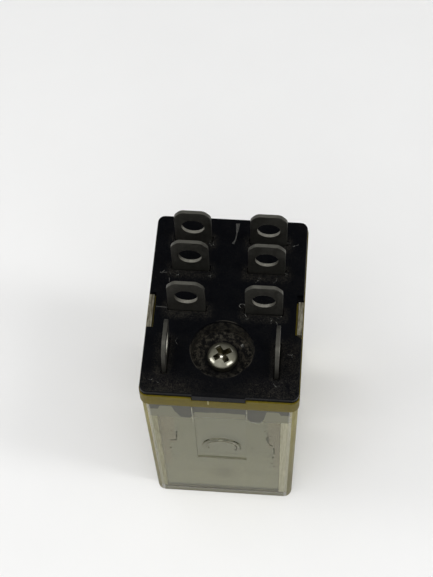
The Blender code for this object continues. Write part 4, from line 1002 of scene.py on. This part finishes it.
def make_lint():
    """Fibres and a fleck on top of the base."""
    chance = random.Random(7)
    scraps = ((-8.9, 4.6, 3), (-8.3, 4.0, 2), (-2.6, 9.4, 3), (8.3, 9.9, 3), (8.1, 5.2, 2), (2.3, -0.2, 1),
              (3.4, -1.9, 3), (6.4, -2.2, 3), (7.6, -1.7, 2), (-7.0, 4.2, 2), (-3.1, 4.2, 2), (4.2, 4.2, 3),
              (6.8, 4.1, 2), (-8.6, -12.2, 2), (7.6, -11.8, 2), (9.2, -7.4, 2), (-6.0, -6.0, 2))
    fibres = []
    for place_x, place_y, count in scraps:
        for _ in range(count):
            x = place_x + chance.uniform(-0.5, 0.5)
            y = place_y + chance.uniform(-0.3, 0.3)
            heading = chance.uniform(0.0, 2.0 * math.pi)
            bend = chance.uniform(-0.45, 0.45)
            stride = chance.uniform(0.05, 0.19)
            points = []
            for _ in range(5):
                points.append(on_base(x, y, LINT_LIFT))
                heading += bend + chance.uniform(-0.4, 0.4)
                x += stride * math.cos(heading)
                y += stride * math.sin(heading)
            path = smooth_path(points, 3)
            thickness = [chance.uniform(0.01, 0.03) * MM for _ in path]
            fibres.append(ridge(path, thickness, 0.6, 6))
    curl = [on_base(2.25 + 0.42 * math.cos(turn), -0.2 + 0.3 * math.sin(turn), LINT_LIFT)
            for turn in (0.4, 1.1, 1.9, 2.7, 3.5, 4.2)]
    fibres.append(ridge(smooth_path(curl, 4), 0.045 * MM, 0.6, 6))
    fleck = ball(0.24 * MM)
    for vert in fleck.verts:
        vert.co.z *= 0.3
        vert.co.x *= 1.0 + 0.35 * math.sin(5.0 * math.atan2(vert.co.y, vert.co.x))
    fibres.append(moved(fleck, Vector((2.56, -4.75, 33.04)) * MM))
    link("base_lint", joined(fibres), ROOT, LOOKS["lint"], "black_phenolic")


def wall_front(z):
    """Y of the cover's slanting front wall at one height."""
    return WALL_FOOT_Y - WALL_LEAN * z


def seen_on_wall(x, z):
    """Where the view of a point on the card passes through the front wall."""
    point = Vector((x * MM, CARD_FRONT, z * MM))
    way = (CAMERA_TARGET + camera_axes()[2] * CAMERA_DISTANCE - point).normalized()
    for _ in range(3):
        point += way * ((wall_front(point.z) - point.y) / way.y)
    return point


def press(mesh, share, depth=0.0):
    """Flatten a mark against the front wall, or at a depth behind its face."""
    for vert in mesh.verts:
        front = wall_front(vert.co.z) + depth
        vert.co.y = front + (vert.co.y - front) * share


def make_wall_marks():
    """Strokes of a thin stepped outline, and specks, on the front wall; the strokes are painted shadow along
    the edge of the card's middle panel, seen through the wall.
    """
    # Painted shadow strokes: radius, then points (x, z) on the card, in mm.
    lines = (
        (0.08, ((-6.45, 20.4), (-6.5, 19.2), (-6.6, 17.7))),
        (0.16, ((-6.6, 17.4), (-7.1, 17.25), (-7.55, 17.2))),
        (0.15, ((6.45, 20.1), (6.5, 19.3), (6.6, 18.2))),
        (0.13, ((6.75, 17.8), (7.0, 17.3), (7.25, 17.1))),
        (0.07, ((7.42, 16.4), (7.47, 15.2), (7.5, 14.2))),
    )
    specks = ((-7.2, 20.6, 0.12), (-7.62, 14.3, 0.18), (-7.52, 13.0, 0.12), (-7.4, 11.6, 0.16),
              (-7.1, 10.4, 0.14), (-7.6, 15.7, 0.09), (4.35, 15.9, 0.16), (6.1, 22.2, 0.13),
              (6.95, 20.6, 0.12), (7.35, 13.0, 0.15), (7.3, 12.1, 0.09), (7.2, 10.6, 0.13),
              (7.55, 9.5, 0.16), (6.95, 9.0, 0.12), (7.0, 13.9, 0.08), (6.6, 11.3, 0.1))
    meshes = [tube_mesh(smooth_path([seen_on_wall(x, z) for x, z in points], 3), radius * MM)
              for radius, points in lines]
    meshes += [moved(ball(radius * MM), seen_on_wall(x, z)) for x, z, radius in specks]
    for mesh in meshes:
        press(mesh, 0.3)
    link("wall_marks", joined(meshes), ROOT, LOOKS["mark"], "aged_clear_plastic")


def make_arch_lines():
    """Dark lines of painted shade and light lines of painted highlight along the moulded arch, and painted
    highlight lines down the panel's upper edges.
    """
    centre, squash = 18.35, 0.93
    dark = []
    pale = []
    # Each arc: group, radius, width (mm), start and stop angle (degrees); dark arcs are painted shade at the
    # arch's edges, pale ones painted highlights.
    arcs = ((dark, 2.72, 0.06, -20.0, 200.0), (dark, 2.18, 0.1, -25.0, 205.0),
            (pale, 2.45, 0.08, 8.0, 100.0), (pale, 1.95, 0.05, 20.0, 150.0))
    for group, radius, width, start, stop in arcs:
        points = []
        for step in range(17):
            angle = math.radians(start + (stop - start) * step / 16)
            z = (centre + squash * radius * math.sin(angle)) * MM
            points.append(Vector((radius * math.cos(angle) * MM, wall_front(z) + ARCH_DEPTH, z)))
        group.append(tube_mesh(smooth_path(points, 2), width * MM, 6))
        press(group[-1], 0.4, ARCH_DEPTH)
    # Painted highlights down the panel's two upper side edges.
    for side, low in ((-1, 26.0), (1, 27.4)):
        edge = [Vector((side * 3.72 * MM, wall_front(z * MM), z * MM)) for z in (31.9, low)]
        pale.append(tube_mesh(edge, (0.06 * MM, 0.03 * MM), 6))
    link("arch_painted_shade_lines", joined(dark), ROOT, LOOKS["arch_shade"], "aged_clear_plastic")
    link("arch_painted_highlight_lines", joined(pale), ROOT, LOOKS["arch_highlight"], "aged_clear_plastic")


def make_inner_details():
    """Upper hook of the return spring, and solder where the leads end."""
    upper = smooth_path([Vector(point) * MM for point in
                         ((0.9, 3.4, 18.15), (0.55, 4.0, 18.35), (0.0, 4.5, 18.7), (0.0, 4.55, 19.3),
                          (0.0, 4.2, 19.78), (0.0, 3.5, 19.8))], 4)
    link("spring_hook_upper", tube_mesh(upper, 0.15 * MM), ROOT, LOOKS["spring"], "bright_nickel")
    solder = []
    for _, side in SIDES:
        for x, y, z, radius in ((7.1, -8.4, 27.2, 0.42), (7.0, -0.3, 28.2, 0.62)):
            blob = ball(radius * MM, 3)
            for vert in blob.verts:
                vert.co *= 1.0 + 0.12 * math.sin(vert.co.z * 9000.0 + vert.co.x * 4000.0)
                vert.co.z *= 1.3
            solder.append(moved(blob, Vector((side * x, y, z)) * MM))
    link("solder_joints", joined(solder), ROOT, LOOKS["solder"], "tinned_metal")


def paint_nodes():
    """Better materials on the CAD nodes that stay as they are."""
    plans = [("winding", "winding"), ("coil_tape", "tape"), ("return_spring", "spring")]
    paired = (("contact_no", "silver"), ("contact_nc", "silver"), ("moving_contact", "silver"),
              ("carrier_rivet", "rivet"), ("coil_lead", "wire"), ("braid", "copper"))
    for word, _ in SIDES:
        plans += [(f"{node}_{word}", look) for node, look in paired]
    for node, look in plans:
        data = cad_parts[node].data
        data.materials.clear()
        data.materials.append(LOOKS[look])


make_terminals()
make_refined_nodes()
make_screw()
make_base_marks()
make_lint()
make_wall_marks()
make_arch_lines()
make_inner_details()
paint_nodes()


# ---- stage and light

# name, place, width, height (metres) and power (watts)
LIGHTS = (
    ("key", (-0.08, -0.24, 0.5), 0.95, 0.95, 4.4),
    ("left_window", (-0.38, 0.01, 0.35), 0.09, 0.09, 0.26),
    ("right_window", (0.32, -0.06, 0.4), 0.07, 0.22, 0.55),
)
LIGHT_TARGET = Vector((0.0, 0.0, 0.03))
SKY_STRENGTH = 0.26
FLOOR_REACH = 1.6
FLOOR_GAP = 0.02 * MM


def make_stage():
    """Pale floor under the relay, and an even white sky."""
    mesh = bmesh.new()
    mesh.faces.new([mesh.verts.new((x * FLOOR_REACH, y * FLOOR_REACH, COVER_FOOT - FLOOR_GAP))
                    for x, y in ((-1, -1), (1, -1), (1, 1), (-1, 1))])
    floor = placed("floor", stored("floor", mesh))
    floor.data.materials.append(LOOKS["floor"])

    world = bpy.data.worlds.new("studio")
    world.use_nodes = True
    sky = world.node_tree.nodes["Background"].inputs
    sky["Color"].default_value = (1.0, 1.0, 1.0, 1.0)
    sky["Strength"].default_value = SKY_STRENGTH
    bpy.context.scene.world = world


def make_lights():
    """Large soft light from above and in front, and two small ones to the sides."""
    for name, place, width, height, power in LIGHTS:
        data = bpy.data.lights.new(name, "AREA")
        data.shape = "RECTANGLE"
        data.size = width
        data.size_y = height
        data.energy = power
        lamp = placed(name, data)
        lamp.location = place
        lamp.rotation_euler = (LIGHT_TARGET - Vector(place)).to_track_quat("-Z", "Y").to_euler()


def make_camera():
    """Camera above and in front of the relay."""
    right, up, back = camera_axes()
    data = bpy.data.cameras.new("camera")
    data.lens = CAMERA_LENS
    data.sensor_width = 36.0
    data.clip_start = 0.01
    data.clip_end = 10.0
    camera = placed("camera", data)
    rotation = Matrix((right, up, back)).transposed()
    camera.matrix_world = Matrix.Translation(CAMERA_TARGET + back * CAMERA_DISTANCE) @ rotation.to_4x4()
    bpy.context.scene.camera = camera
    bpy.context.scene.view_settings.view_transform = "Standard"


make_stage()
make_lights()
make_camera()
